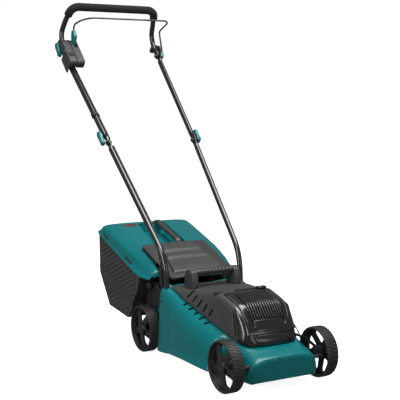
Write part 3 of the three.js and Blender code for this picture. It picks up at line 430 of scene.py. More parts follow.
def turned(profile, centre, axis="X", steps=64, closed=True):
    """A profile of (along, radius) pairs turned round an axis through a point in millimetres."""
    bm = bmesh.new()
    ring = []
    for along, radius in profile:
        offset = (along, radius, 0) if axis == "X" else (radius, 0, along)
        ring.append(bm.verts.new(at(*(Vector(centre) + Vector(offset)))))
    edges = [bm.edges.new(pair) for pair in zip(ring, ring[1:])]
    if closed:
        edges.append(bm.edges.new((ring[-1], ring[0])))
    way = (1, 0, 0) if axis == "X" else (0, 0, 1)
    bmesh.ops.spin(bm, geom=ring + edges, cent=at(*centre), axis=way, angle=2 * math.pi,
                   steps=steps, use_merge=True, use_duplicate=False)
    bmesh.ops.remove_doubles(bm, verts=bm.verts, dist=0.000005)
    return bm


chamber = turned([(56, 166), (92, 163), (98, 158), (98, 14), (104, 14), (104, 164), (56, 169)],
                 (0, BLADE_CENTRE, 0), "Z", 96)
bmesh.ops.bisect_plane(chamber, geom=chamber.verts[:] + chamber.edges[:] + chamber.faces[:],
                       plane_co=at(0, CHAMBER_BACK, 0), plane_no=(0, 1, 0), clear_outer=True)
piece("chamber_wall", chamber, "deck", teal_gloss)
CHEEK = [(384, 60), (384, 226), (398, 236), (434, 239), (480, 161), (544, 113), (544, 67), (500, 53)]
RAMP = [(398, 60), (468, 85.5), (544, 94.5), (544, 100), (468, 91), (398, 66)]


def faces(side, near, far):
    """The two X planes of a plate that lies on one side, the lower one first."""
    return sorted((side * near, side * far))


cheeks = [plate([fillet(CHEEK, 12)], *faces(side, *CHEEK_FACES)) for side in (1, -1)]
piece("rear_cheeks", joined(*cheeks, plate([RAMP], -125, 125, 0.5)), "deck", teal_gloss)

# ---- motor cover ---------------------------------------------------------------------------------
# The hood over motor and battery bay is spark-eroded grey polypropylene, 3 mm thick. Five slanted
# vents are cut through each flank, and a ribbed carrying bar stands over its lower rear end.
GREY, BLACK = (0.040, 0.040, 0.041), (0.009, 0.009, 0.0095)
grey_grain = moulded("grey_grain", GREY, 0.52, 900.0, 0.00012)

# the hood is grained grey, and gloss black on its nose, in front of a line that leans back
NOSE_LEAN, NOSE_LINE = 0.394, -0.0152
hood = Paint("hood_two_tone", coat_roughness=0.08)
hood_place = hood.place()
hood_y, hood_z = [hood.node("ShaderNodeSeparateXYZ", {}, {0: hood_place}, out=axis) for axis in (1, 2)]
nose_part = (hood_z * NOSE_LEAN + (FRONT_AXLE + NOSE_LINE)) > hood_y
hood.set("base color", hood.mix(nose_part, clouded(hood, GREY), BLACK))
hood.set("roughness", handled(hood) + (0.41 - nose_part * 0.26))
hood.set("coat weight", nose_part * 0.5)
hood.bump(hood.noise(900.0, 2.0), 0.5, 0.00008)

COVER_WALL = 2.6
cover = cage(sections([
    (0, [(60, 115.6), (62, 118), (61, 122), (57, 126), (50, 128), (30, 129)]),
    (6, [(76, 117.4), (79, 121), (77, 127), (72, 134), (64, 137), (56, 138)]),
    (20, [(91, 121.4), (93, 126), (89, 148), (85, 160), (79, 165), (66, 166)]),
    (44, [(100, 128.2), (101, 134), (93, 172), (89, 192), (82, 199), (67, 200)]),
    (64, [(103, 133.9), (104, 140), (95, 192), (92, 214), (86, 220), (68, 221)]),
    (100, [(109, 144.2), (109, 151), (99, 202), (95, 226), (89, 231), (68, 232)]),
    (141, [(113, 155.9), (113, 163), (102, 208), (98, 233), (90, 240), (68, 241)]),
    (158, [(115, 160.7), (115, 168), (104, 213), (99, 236), (92, 246.5), (68, 247)]),
    (200, [(118, 172.8), (118, 180), (106, 217), (100, 234), (91, 241), (68, 242)]),
    (230, [(121, 181.3), (121, 188), (109, 219), (102, 230), (92, 235.5), (68, 236)]),
    (296, [(126, 200.2), (126, 206), (113, 224), (104, 231), (94, 235.5), (66, 236)]),
    (308, [(127, 203.5), (127, 209), (116, 224), (108, 228), (98, 229.8), (66, 230)]),
    (384, [(126, 225.2), (126, 227), (122, 229), (116, 230), (106, 230.5), (66, 230.5)]),
    (391, [(126, 227.2), (126, 229), (122, 230.5), (116, 231), (106, 231), (66, 231)]),
]))
opened(cover, lambda x, y: abs(x) < 50 and 12 < y < 150)
crease(cover, 0.9, lambda a, b: all(p[2] < seam(p[1]) + 7 for p in (a, b)) and abs(a[0] - b[0]) < 20)
crease(cover, 0.9, lambda a, b: all(abs(p[0]) < 70 and 140 < p[1] < 170 for p in (a, b)))
crease(cover, 0.7, lambda a, b: all(295 < p[1] < 309 for p in (a, b)) and abs(a[1] - b[1]) < 1)
motor_cover = piece("cover_skin", cover, "deck", hood.material, ["motor_cover"])
thick(motor_cover, COVER_WALL)
rounded(motor_cover)


def settled(thing):
    """Applies every modifier of a piece to its mesh."""
    evaluated = thing.evaluated_get(bpy.context.evaluated_depsgraph_get())
    mesh = bpy.data.meshes.new_from_object(evaluated)
    thing.modifiers.clear()
    mesh.set_sharp_from_angle(angle=math.radians(35))
    thing.data = mesh


def cut_with(thing, cutters):
    """Cuts a mesh out of a piece for good."""
    mesh = bpy.data.meshes.new("cutter")
    cutters.to_mesh(mesh)
    cutters.free()
    cutter = shown(bpy.data.objects.new("cutter", mesh))
    modifier = thing.modifiers.new("cut", "BOOLEAN")
    modifier.operation = "DIFFERENCE"
    modifier.object = cutter
    modifier.solver = "EXACT"
    settled(thing)
    bpy.data.objects.remove(cutter)


VENTS = 5
VENT_STEP = 30
VENT_START = 166


def vent(y, side):
    """A slanted slot through one flank of the cover."""
    foot = seam(y) + 12
    loop = fillet([(y + 4, foot), (y + 12, foot), (y + 2, foot + 24), (y - 6, foot + 24)], 3)
    return plate([loop], *sorted((side * 98, side * 130)), 0.3)


def notch(y, side):
    """The dark pocket in the deck's shoulder below a vent."""
    foot = seam(y)
    loop = fillet([(y - 3, foot - 11), (y + 7, foot - 8), (y + 7, foot + 4), (y - 3, foot + 1)], 2.5)
    return plate([loop], *sorted((side * 110, side * (134 + 0.04 * (y - 150)))), 0.3)


vent_places = [(VENT_START + i * VENT_STEP, side) for i in range(VENTS) for side in (-1, 1)]
cut_with(motor_cover, joined(*[vent(y, side) for y, side in vent_places]))

# side panels of the battery bay: flat inlays on the slanted flanks
PANEL = [(136, 172), (154, 232), (70, 211), (42, 140)]


def panel(side):
    """A flat inlay on the slanted flank, a millimetre proud of it."""
    bm = plate([fillet(PANEL, 6)], -1.2, 1.2, 0.6)
    for vertex in bm.verts:
        x, y, z = mm(vertex.co)
        lean = 104.6 - 0.135 * (z - 172) + 0.062 * (y - 100)
        vertex.co = at(side * (lean + x), y, z)
    if side < 0:
        bmesh.ops.reverse_faces(bm, faces=bm.faces)
    return bm


smooth_grey = moulded("smooth_grey", shade(GREY, 1.05), 0.42, 1500.0, 0.00004)
for hand, side in (("right", -1), ("left", 1)):
    piece(f"bay_panel_{hand}", panel(side), "deck", smooth_grey)

# the carrying bar: two posts, a bar and its finger ribs
POST = [(315, 229), (319, 262), (326, 280), (338, 286), (354, 286), (364, 279), (371, 258), (377, 229)]
BAR = [(331, 271), (330, 279), (337, 285), (351, 285), (357, 278), (355, 270), (345, 267)]
RIB = [(328, 270), (327, 280), (335, 287), (352, 287), (358, 279), (356, 269), (345, 266)]
RIBS = 10
RIB_SPAN, RIB_HALF = 116, 4
posts = [plate([fillet(POST, 8)], *faces(side, 67, 88), 2.5) for side in (-1, 1)]
piece("carry_posts", joined(*posts), "deck", grey_grain)
rib_middles = [-RIB_SPAN / 2 + i * RIB_SPAN / (RIBS - 1) for i in range(RIBS)]
carry = joined(plate([fillet(BAR, 5)], -70, 70, 1.5),
               *[plate([fillet(RIB, 5)], x - RIB_HALF, x + RIB_HALF, 1.4) for x in rib_middles])
piece("carry_bar", carry, "deck", smooth_grey)
cut_with(deck_skin, joined(*[notch(y, side) for y, side in vent_places]))

# ---- battery lid ---------------------------------------------------------------------------------
# A domed door of gloss black polycarbonate. Its smoked window has moulded ribs that run fore and aft
# over the crown, and a smooth brow under them carries the finger catch.
black_gloss = moulded("black_gloss", BLACK, 0.2, 1500.0, 0.00002, coat_weight=0.5, coat_roughness=0.08)
smoke = Paint("smoked_polycarbonate", base_color=(0.02, 0.022, 0.024), roughness=0.07, ior=1.5,
              transmission_weight=0.55)
smoke.set("roughness", smoke.noise(60.0, 3.0) * 0.1 + 0.03)
CREST = [(9, 147), (12, 155), (20, 168), (32, 186), (44, 203), (54, 215), (64, 224.5), (78, 230),
         (96, 235), (116, 241), (134, 245.5), (147, 248.5)]


def along_crest(offset, first=0, last=None):
    """The dome's centre line raised along its normal, as (y, z) pairs."""
    line = [Vector(point) for point in CREST]
    raised = []
    for i, point in enumerate(line):
        ahead = line[min(i + 1, len(line) - 1)] - line[max(i - 1, 0)]
        raised.append(point + Vector((-ahead.y, ahead.x)).normalized() * offset)
    return raised[first:last]


def dome(outline_half, first=0, last=None):
    """A skin over the dome from (x, depth below the crest) pairs, edge to middle."""
    across = [(-x, drop) for x, drop in outline_half] + [(x, drop) for x, drop in reversed(outline_half)]
    lines = {drop: along_crest(-drop, first, last) for drop in {drop for x, drop in across}}
    count = len(lines[across[0][1]])
    return cage([[at(x, *lines[drop][i]) for x, drop in across] for i in range(count)])


frame_half = [(80, 16), (80.5, 7), (78, 2), (73, 0), (60, -1.0), (57, -0.9), (30, -2.2), (8, -2.6)]
lid = dome(frame_half)
opened(lid, lambda x, y: abs(x) < 57 and 20 < y < 130)
crease(lid, 0.7, lambda a, b: all(abs(p[0]) < 58 for p in (a, b)))
lid_frame = piece("lid_frame", lid, "battery_lid", black_gloss, ["battery_lid"])
thick(lid_frame, 2.5)
rounded(lid_frame)

pane = piece("window_pane", dome([(57.5, 1.2), (50, 0.4), (30, -0.8), (8, -1.2)], 2, 11), "battery_lid",
             smoke.material, ["lid_window"])
thick(pane, 2)
rounded(pane)


WINDOW_RIBS = 13
WINDOW_SPAN = 102
RIB_CROWN, RIB_SUNK, WINDOW_RIB_HALF = 4.6, 0.8, 2.3


def rib(x):
    """A rib that follows the crest, rounded along its top."""
    drop = 1.2 - 2.0 * (1 - (x / 60) ** 2)
    top = along_crest(-drop + RIB_CROWN, 3, 11)
    foot = along_crest(-drop - RIB_SUNK, 3, 11)
    outline = [tuple(point) for point in top + foot[::-1]]
    return plate([outline], x - WINDOW_RIB_HALF, x + WINDOW_RIB_HALF, 0.9)


ribs = [rib(-WINDOW_SPAN / 2 + i * WINDOW_SPAN / (WINDOW_RIBS - 1)) for i in range(WINDOW_RIBS)]
rib_gloss = moulded("rib_gloss", (0.020, 0.021, 0.022), 0.24, 1500.0, 0.00002, coat_weight=0.4)
piece("window_ribs", joined(*ribs), "battery_lid", rib_gloss)
brow = dome([(50, -0.6), (46, -2.4), (24, -3.6), (6, -3.8)], 1, 4)
brow_plate = piece("lid_brow", brow, "battery_lid", black_gloss)
thick(brow_plate, 3)
rounded(brow_plate)
hinge_tab = plate([fillet([(138, 249), (139, 256), (152, 257), (158, 252), (156, 248)], 3)], 38, 66, 1.2)
piece("hinge_tab", hinge_tab, "battery_lid", black_gloss)

# ---- cover chin ----------------------------------------------------------------------------------
# Below the lid the cover ends in a rounded black lip that hangs over the nose of the deck.
CHIN = [(1, 115.5, 60), (-1, 121, 63), (0, 130, 66), (4, 138, 70), (9, 145, 74), (16, 147, 76)]
chin = cage([[at(x, y + back, z) for x, back in ((-w, 18), (-w + 2, 8), (-w + 9, 2), (-w + 26, 0), (-14, -1),
                                               (14, -1), (w - 26, 0), (w - 9, 2), (w - 2, 8), (w, 18))]
             for y, z, w in CHIN])
chin_lip = piece("cover_chin", chin, "deck", black_gloss)
thick(chin_lip, 2.5, 1)
rounded(chin_lip)

# ---- wheels --------------------------------------------------------------------------------------
# Each wheel is one black nylon moulding: a rolling rim with cross lugs, five dished spokes with
# drop-shaped windows, and a hub that turns on the steel stub. A round cap clips over the stub's end.
WHEEL_RADIUS = 75
WHEEL_OUTER = 179
SPOKES = 5
BULGE, BULGE_RADIUS = 6.0, 50
LUGS = 44
LUG_LONG, LUG_TALL = 0.0052, 0.0022
DUST = (0.05, 0.048, 0.045)
nylon = moulded("black_nylon", (0.016, 0.016, 0.0165), 0.38, 800.0, 0.00008)

# the tread is greyed by dust and fine scuffs
tread = Paint("tread_nylon")
scuff = tread.noise(120.0, 8.0)
tread.set("base color", tread.mix((scuff > 0.62) * 0.35, (0.017, 0.017, 0.017), DUST))
tread.set("roughness", scuff * 0.25 + 0.45)
tread.bump(tread.noise(520.0, 3.0), 0.6, 0.0001)


def oval(u, v, half_u, half_v, count):
    """A loop round a point, as wide and as tall as asked."""
    turns = [2 * math.pi * i / count for i in range(count)]
    return [(u + half_u * math.cos(turn), v + half_v * math.sin(turn)) for turn in turns]


def wheel(end, hand, side, axle_y):
    """Rim, lugs, spokes and cap of one wheel. Profiles run along the axle from the middle outwards."""
    r = lift = WHEEL_RADIUS
    centre = (0, axle_y, lift)
    out = [(a * side, b) for a, b in (
        (141, r - 3.5), (143, r - 1.4), (WHEEL_OUTER - 4, r - 1.4), (WHEEL_OUTER - 1.2, r - 2.6),
        (WHEEL_OUTER - 0.4, r - 5), (WHEEL_OUTER - 1.5, r - 7.5), (WHEEL_OUTER - 4, r - 8.6),
        (WHEEL_OUTER - 9, r - 9.4), (WHEEL_OUTER - 16, r - 9.6), (146, r - 8.2), (141, r - 7))]
    rim = turned(out, centre, steps=96)
    lugs = bmesh.new()
    for row, (start, end_x) in enumerate(((143.5, 157), (160, WHEEL_OUTER - 2.4))):
        for i in range(LUGS):
            turn = Matrix.Rotation(2 * math.pi * (i + row / 2) / LUGS, 4, "X")
            size = Matrix.Diagonal(((end_x - start) / 1000, LUG_LONG, LUG_TALL, 1))
            spot = Vector((side * (start + end_x) / 2000, 0, (r - 1.1) / 1000))
            place = Matrix.Translation(at(*centre)) @ turn @ Matrix.Translation(spot) @ size
            bmesh.ops.create_cube(lugs, size=1, matrix=place)
    bmesh.ops.bevel(lugs, geom=lugs.edges[:], offset=0.0006, segments=1, affect="EDGES", profile=0.5,
                    material=-1)
    body = f"{end}_wheel_{hand}"
    piece(f"{body}_tyre", joined(rim, lugs), body, tread.material, [body])

    windows = []
    for i in range(SPOKES):
        heading = 2 * math.pi * i / SPOKES + math.pi / 2
        drop = [(26, 0.20), (36, 0.30), (48, 0.40), (58, 0.42), (62.5, 0.31), (64, 0.0)]
        drop = drop + [(radius, -swing) for radius, swing in reversed(drop[:-1])]
        corner = [(radius * math.cos(heading + swing) + axle_y, radius * math.sin(heading + swing) + lift)
                  for radius, swing in drop]
        windows.append(fillet(corner, 5, 3))
    circle = oval(axle_y, lift, 66.5, 66.5, 96)
    disc = plate([circle, *windows], *faces(side, WHEEL_OUTER - 16, WHEEL_OUTER - 10), 1.6)
    for vertex in disc.verts:
        x, y, z = mm(vertex.co)
        reach = math.hypot(y - axle_y, z - lift)
        vertex.co = at(x + side * BULGE * max(0, 1 - (reach / BULGE_RADIUS) ** 2), y, z)
    hub = turned([(a * side, b) for a, b in (
        (141, 8), (141, 15), (150, 17), (WHEEL_OUTER - 12, 18), (WHEEL_OUTER - 5.5, 19.5),
        (WHEEL_OUTER - 4.5, 18.8), (WHEEL_OUTER - 4.5, 17.4), (WHEEL_OUTER - 8, 17.4),
        (WHEEL_OUTER - 8, 7))], centre, steps=48)
    piece(f"{body}_spokes", joined(disc, hub), body, nylon)
    cap = turned([(a * side, b) for a, b in (
        (WHEEL_OUTER - 7.5, 0.01), (WHEEL_OUTER - 7.5, 17), (WHEEL_OUTER - 3, 17), (WHEEL_OUTER - 1.8, 15.8),
        (WHEEL_OUTER - 1.8, 12.5), (WHEEL_OUTER - 2.6, 11.8), (WHEEL_OUTER - 2.4, 6),
        (WHEEL_OUTER - 2.2, 0.01))], centre, steps=48, closed=False)
    piece(f"{body}_cap", cap, body, nylon, [f"{end}_hub_cap_{hand}"])


low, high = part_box("rear_wheel_right")
REAR_AXLE = (low.y + high.y) / 2 * 1000 - FRONT_AXLE * 1000
for end, axle_y in (("front", 0), ("rear", REAR_AXLE)):
    for hand, side in (("right", -1), ("left", 1)):
        wheel(end, hand, side, axle_y)

# ---- axles and height lever ----------------------------------------------------------------------
# Cranked rods in black oxide carry the wheels. A flat link under the left skirt ties both cranks, and
# a sprung lever with a black knob, beside the right rear wheel, snaps into a notched plate.


def plated(name, colour, roughness, stretch):
    """Zinc plate over drawn steel: fine lines along the bar and a patchy bloom."""
    paint = Paint(name, metallic=1.0)
    bloom = paint.noise(45.0, 4.0)
    paint.set("base color", paint.mix(bloom, shade(colour, 0.75), colour))
    lines = paint.noise(420.0, 3.0, stretch)
    paint.set("roughness", lines * 0.3 + (roughness - 0.12))
    paint.bump(lines, 0.25, 0.00005)
    return paint.material


zinc = plated("zinc_plate", (0.55, 0.56, 0.58), 0.34, (0.05, 1, 1))
blade_steel = plated("blade_steel", (0.4, 0.41, 0.42), 0.3, (0.05, 1, 1))
dark_steel = moulded("black_oxide", (0.02, 0.02, 0.021), 0.4, 900.0, 0.00005)
matt_black = moulded("matt_black", (0.016, 0.016, 0.016), 0.55, 1000.0, 0.0001)


def repaint(paint, *nodes):
    """Gives CAD nodes that keep their drawn shapes a paint of their own."""
    for node in nodes:
        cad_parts[node].data.materials.clear()
        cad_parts[node].data.materials.append(paint)


repaint(dark_steel, "front_axle", "rear_axle")
QUADRANT = [(438, 150), (444, 190), (466, 216), (492, 229), (514, 229), (526, 210), (550, 174),
            (557, 156), (530, 147), (480, 145)]
slots = [[(y + 9 * i, z + 2 * i) for y, z in ((486, 200), (489, 200), (490, 212), (487, 212))]
         for i in range(3)]
quadrant = plate([fillet(QUADRANT, 9), *slots], -132.6, -130.2, 0.6)
piece("notched_plate", quadrant, "deck", matt_black, ["height_quadrant"])
PIVOT = (465, WHEEL_RADIUS)
KNOB = (505, 213)
LEVER = [(455, 72), (461, 65), (471, 65), (476, 75), (513, 197), (513, 213), (497, 213), (495, 199)]
lever = plate([fillet(LEVER, 4), oval(*PIVOT, 6.6, 6.6, 24)], -134.8, -132.8, 0.4)
piece("adjuster_arm", lever, "rear_crank", dark_steel, ["height_lever"])
knob = turned([(-135.3, 0.01), (-135.3, 8), (-138, 10.5), (-143, 11.4), (-149, 10.6), (-152, 8),
               (-153, 0.01)], (0, *KNOB), steps=32, closed=False)
bmesh.ops.scale(knob, vec=(1, 1, 1.25), verts=knob.verts, space=Matrix.Translation(-at(0, *KNOB)))
piece("adjuster_knob", knob, "rear_crank", matt_black, ["height_knob"])

# ---- rear flap -----------------------------------------------------------------------------------
# The spring-loaded discharge flap is a smooth grey moulding. Its raised middle steps down twice
# towards the hinge, and the flat flange around it rests on the grass box.
HINGE = (404, 252)
BARRELS = [(-118, -90), (-70, -21.5), (21.5, 70), (90, 118)]
FLAP_RISE = (329 - 252) / (611 - 404)


def over_flap(y, up):
    """A point on the flap's slope, raised square to the ground."""
    return y, HINGE[1] + (y - HINGE[0]) * FLAP_RISE + up


flange = plate([fillet([(-118, 408), (118, 408), (120, 608), (104, 612), (-104, 612), (-120, 608)], 3)],
               -1.6, 1.6, 0.8, TURN_XY)
for vertex in flange.verts:
    x, y, z = mm(vertex.co)
    vertex.co = at(x, *over_flap(y, z - 0.4))
HUMP = [(424, 1, 97), (428, 8, 95), (450, 10.5, 91), (497, 12, 82), (500, 15.5, 81), (519, 16, 77),
        (522, 12.5, 76.5), (535, 12.5, 74), (539, 17, 73), (582, 18.5, 62), (588, 15, 60), (590, 1, 60)]
hump = cage([[at(x, *over_flap(y, up - drop)) for x, drop in
              ((-w - 2, up + 0.5), (-w, 4), (-w + 4, 0.6), (-w * 0.4, 0), (w * 0.4, 0), (w - 4, 0.6), (w, 4),
               (w + 2, up + 0.5))] for y, up, w in HUMP])
crease(hump, 0.55, lambda a, b: abs(a[1] - b[1]) < 0.5)
hump_thing = piece("flap_hump", hump, "rear_flap", smooth_grey)
thick(hump_thing, 2)
rounded(hump_thing)
barrels = [turned([(a, 3.4), (a, 6), (b, 6), (b, 3.4)], (0, *HINGE), steps=24) for a, b in BARRELS]
root = fillet([(404, 246.6), (412, 249), (412, 256), (404, 258)], 1)
roots = [plate([root], a, b, 0.5) for a, b in BARRELS]
piece("flap_flange", joined(flange, *barrels, *roots), "rear_flap", smooth_grey,
      ["rear_flap"])

# ribs under its free edges reach into the opening of the box
CURTAIN = (-1.5, -27)
REAR_RIB, SIDE_RIB_INNER = 606, 114
rear_rib = plate([fillet([over_flap(REAR_RIB - 3, CURTAIN[0]), over_flap(REAR_RIB - 3, CURTAIN[1]),
                          over_flap(REAR_RIB, CURTAIN[1]), over_flap(REAR_RIB, CURTAIN[0])], 0.8)],
                 -SIDE_RIB_INNER - 3, SIDE_RIB_INNER + 3, 0.5)
side_rib = fillet([over_flap(505, CURTAIN[0]), over_flap(525, CURTAIN[1]), over_flap(REAR_RIB, CURTAIN[1]),
                   over_flap(REAR_RIB, CURTAIN[0])], 2)
side_ribs = [plate([side_rib], *faces(side, SIDE_RIB_INNER, SIDE_RIB_INNER + 3), 0.5) for side in (-1, 1)]
piece("flap_ribs", joined(rear_rib, *side_ribs), "rear_flap", smooth_grey)
repaint(dark_steel, "flap_pin", "lid_pin")

# ---- grass box lid -------------------------------------------------------------------------------
# The lid is deck-coloured polypropylene with a rolled lip. A well is sunk in its middle, so that a
# hand can close round the carry bar, and an oval flap of red-brown plastic shows when the box is full.
LIP_FRONT, LIP_HEIGHT, LIP_RISE = 517, 243, 0.3235


def lip(y):
    """Height of the lid's lip."""
    return LIP_HEIGHT + (y - LIP_FRONT) * LIP_RISE


def lid_section(y, width, shoulder, top, inner, foot=None):
    """Half section of the lid from its lip to the middle, or to the edge beside the flap."""
    foot = foot or lip(y)
    return [(width - 1.5, foot - 1.5), (width, foot + 1), (width - 1, foot + 3.5), (width - 4, foot + 6),
            (shoulder + 6, foot + 9 + (top - foot) * 0.12), (shoulder + 1, foot + (top - foot) * 0.72),
            (shoulder - 7, top - 1), (inner + 5, top + 0.4), (inner, top), (12, top)]


LID = [(475, 158, 142, 246, 121, 240), (476, 160, 144, 259, 121, 239), (481, 163, 148, 264, 121, 238.5),
       (500, 171, 154, 273, 121, 240), (517, 177, 158, 281, 121), (524, 179, 159, 284, 121),
       (560, 180, 162, 299, 121), (606, 180, 165, 316.5, 121), (613, 180, 166, 318.8, 78),
       (624, 180, 166, 322, 72), (700, 180, 168, 344.5, 64), (776, 180, 169, 367, 60),
       (808, 180, 168, 376.5, 58), (822, 180, 167, 379, 58), (834, 179, 163, 374, 58),
       (842, 177, 158, 362, 58), (845, 175, 156, 352, 58)]
lid_top = cage(sections([(row[0], lid_section(*row)) for row in LID]))
opened(lid_top, lambda x, y: abs(x) < 120 and y < 610)
crease(lid_top, 0.6, lambda a, b: max(a[1], b[1]) < 475.5)
crease(lid_top, 0.9, lambda a, b: all(abs(p[0]) < 122 and p[1] < 614 for p in (a, b)))
crease(lid_top, 0.5, lambda a, b: all(abs(p[2] - lip(p[1])) < 8 for p in (a, b)) and abs(a[0] - b[0]) < 4)
lid_skin = piece("lid_skin", lid_top, "grass_box", teal_gloss, ["grass_lid"])
thick(lid_skin, 3)
rounded(lid_skin)
INDICATOR = (-79, 792, 370.5)
LID_SLOPE = 0.296
CATCHES = (606, 776)


def along_lip(start, end, low, high):
    """Four corners that follow the lip between two lengths and two heights over it."""
    return [(y, lip(y) + up) for y, up in ((start, low), (end, low), (end, high), (start, high))]


WELL = [(-66, 616), (62, 616), (62, 800), (-40, 800)]
cut_with(lid_skin, plate([fillet(WELL, 9)], 270, 420, 0.2, TURN_XY))
slots = [plate([fillet(along_lip(y - 19, y + 19, 9, 14.5), 2.5)], *faces(side, 160, 186), 0.3)
         for y in CATCHES for side in (-1, 1)]
cut_with(lid_skin, joined(plate([oval(*INDICATOR[:2], 29, 11, 40)], 350, 392, 0.4, TURN_XY), *slots))
red_brown = moulded("red_brown", (0.105, 0.030, 0.028), 0.3, 1500.0, 0.00003, transmission_weight=0.1)
level = joined(plate([oval(*INDICATOR[:2], 28, 10, 40)], -1.4, 1.4, 0.9, TURN_XY),
               plate([oval(*INDICATOR[:2], 20, 5, 40)], 1.0, 2.4, 0.6, TURN_XY))
for vertex in level.verts:
    x, y, z = mm(vertex.co)
    vertex.co = at(x, y, INDICATOR[2] + z + (y - INDICATOR[1]) * LID_SLOPE)
piece("level_flap", level, "fill_indicator", red_brown, ["fill_indicator"])


def over_lid(y, up):
    """A point over the lid's middle, raised square to the ground."""
    return y, 318 + (y - 611) * LID_SLOPE + up


# the well: an open pan whose walls draw in towards its floor
well_rim = fillet(WELL, 9, 5)
well_middle = Vector((11, 708))
well_floor = [well_middle + (Vector(point) - well_middle) * 0.955 for point in well_rim]
rows = [[at(x * grow, *over_lid(y, up)) for x, y in ring + ring[:1]]
        for ring, grow, up in ((well_rim, 1.012, 0.9), (well_rim, 1.0, 0.2), (well_rim, 0.997, -3),
                               (well_floor, 1.005, -24), (well_floor, 0.995, -29), (well_floor, 0.95, -30))]
pan = cage(rows)
bmesh.ops.remove_doubles(pan, verts=pan.verts, dist=5 * WELD)
bmesh.ops.holes_fill(pan, edges=[edge for edge in pan.edges if edge.is_boundary
                                 and mm(edge.verts[0].co)[2] < over_lid(mm(edge.verts[0].co)[1], -20)[1]])
well_pan = piece("lid_well", pan, "grass_box", teal_gloss)
thick(well_pan, 2.4, 1)
HANDLE = [over_lid(640, -30), over_lid(638, 2), over_lid(648, 9), over_lid(803, 9), over_lid(811, 5),
          over_lid(811, -0.5), over_lid(799, -0.5), over_lid(796, -3), over_lid(652, -3), over_lid(651, -30)]
handle_bar = plate([fillet(HANDLE, 5)], 28, 48, 2.6, steps=4)
piece("box_carry_bar", handle_bar, "grass_box", smooth_grey, ["box_handle"])

# ---- grass basket --------------------------------------------------------------------------------
# Below the lip hangs a black basket. Its sides are moulded nets over a near-black liner, painted shade for
# the dark inside of the box, parted by one plain raised band that runs parallel to the lip, and a narrow
# mouth reaches in between the cheeks.
net_black = moulded("net_black", (0.030, 0.030, 0.030), 0.42, 700.0, 0.0001)
# the net's webs are the basket's black plastic painted a lighter grey: a painted highlight for the light
# their edges catch
web_painted_highlight = moulded("web_painted_highlight", (0.052, 0.050, 0.050), 0.4, 700.0, 0.0001)
# the liner is painted shade: a near-black sheet behind the net holes, darker than the basket's own black
shade_sheet_paint = moulded("shade_sheet_paint", (0.006, 0.006, 0.006), 0.9, 900.0, 0.0001)
SIDE = [(612, 90), (759, 104), (838, 208), (842, 343), (600, 267), (524, 243), (536, 200)]
BAND_LOW, BAND_TALL = 208, 31
SHADE_SHEET_FACES, NET_FACES = (169, 170.3), (170.4, 172)
BORDER_FACES, BAND_FACES, CATCH_FACES = (171.5, 173), (171.5, 173.2), (171.8, 174)


def band(y, up=0):
    """Height of the band's lower edge, or of a line that many millimetres over it."""
    return BAND_LOW + (y - 838) * LIP_RISE + up


UPPER_FIELD = [(558, band(558, BAND_TALL + 5)), (834, band(834, BAND_TALL + 5)), (838, lip(838) - 8),
               (546, lip(546) - 8)]
LOWER_FIELD = [(618, 96), (756, 109), (829, band(829, -6)), (600, band(600, -6))]


def inside(point, loop):
    """Whether a point lies in a loop that runs round it."""
    turns = []
    for (y, z), (v, w) in zip(loop, loop[1:] + loop[:1]):
        turns.append((v - y) * (point[1] - z) - (w - z) * (point[0] - y))
    return min(turns) > 0 or max(turns) < 0


def shrunk(loop, border):
    """A loop drawn in towards its middle."""
    centre = sum((Vector(point) for point in loop), Vector((0, 0))) / len(loop)
    return [tuple(Vector(point) + (centre - Vector(point)).normalized() * border) for point in loop]


NET_PITCH, NET_RISE, NET_BORDER = 22, 16, 7
HOLE_WIDE, HOLE_SHOULDER, HOLE_TIP = 3.5, 2.2, 4.6
HOLE = [(-HOLE_WIDE, -HOLE_SHOULDER), (0, -HOLE_TIP), (HOLE_WIDE, -HOLE_SHOULDER),
        (HOLE_WIDE, HOLE_SHOULDER), (0, HOLE_TIP), (-HOLE_WIDE, HOLE_SHOULDER)]


def net(field):
    """Upright six-sided holes in staggered rows that follow the lip, as many as fit the field."""
    low_y, high_y = min(y for y, z in field), max(y for y, z in field)
    low_z, high_z = min(z for y, z in field), max(z for y, z in field)
    core = shrunk(field, NET_BORDER)
    holes = []
    for i in range(int((high_y - low_y) / NET_PITCH * 2) + 2):
        for j in range(-30, int((high_z - low_z) / NET_RISE) + 30):
            y = low_y + i * NET_PITCH / 2
            z = low_z + (j + (i % 2) / 2) * NET_RISE + (y - low_y) * LIP_RISE
            if inside((y, z), core):
                holes.append([(y + v, z + w) for v, w in HOLE])
    return holes


def strip(path, wall, low, high):
    """A bent wall: its outer face follows a path of (y, z) pairs, its thickness lies to the left."""
    inner = []
    for i, point in enumerate(path):
        way = Vector(path[min(i + 1, len(path) - 1)]) - Vector(path[max(i - 1, 0)])
        inner.append(tuple(Vector(point) + Vector((-way.y, way.x)).normalized() * wall))
    return plate([path + inner[::-1]], low, high, 0.5)


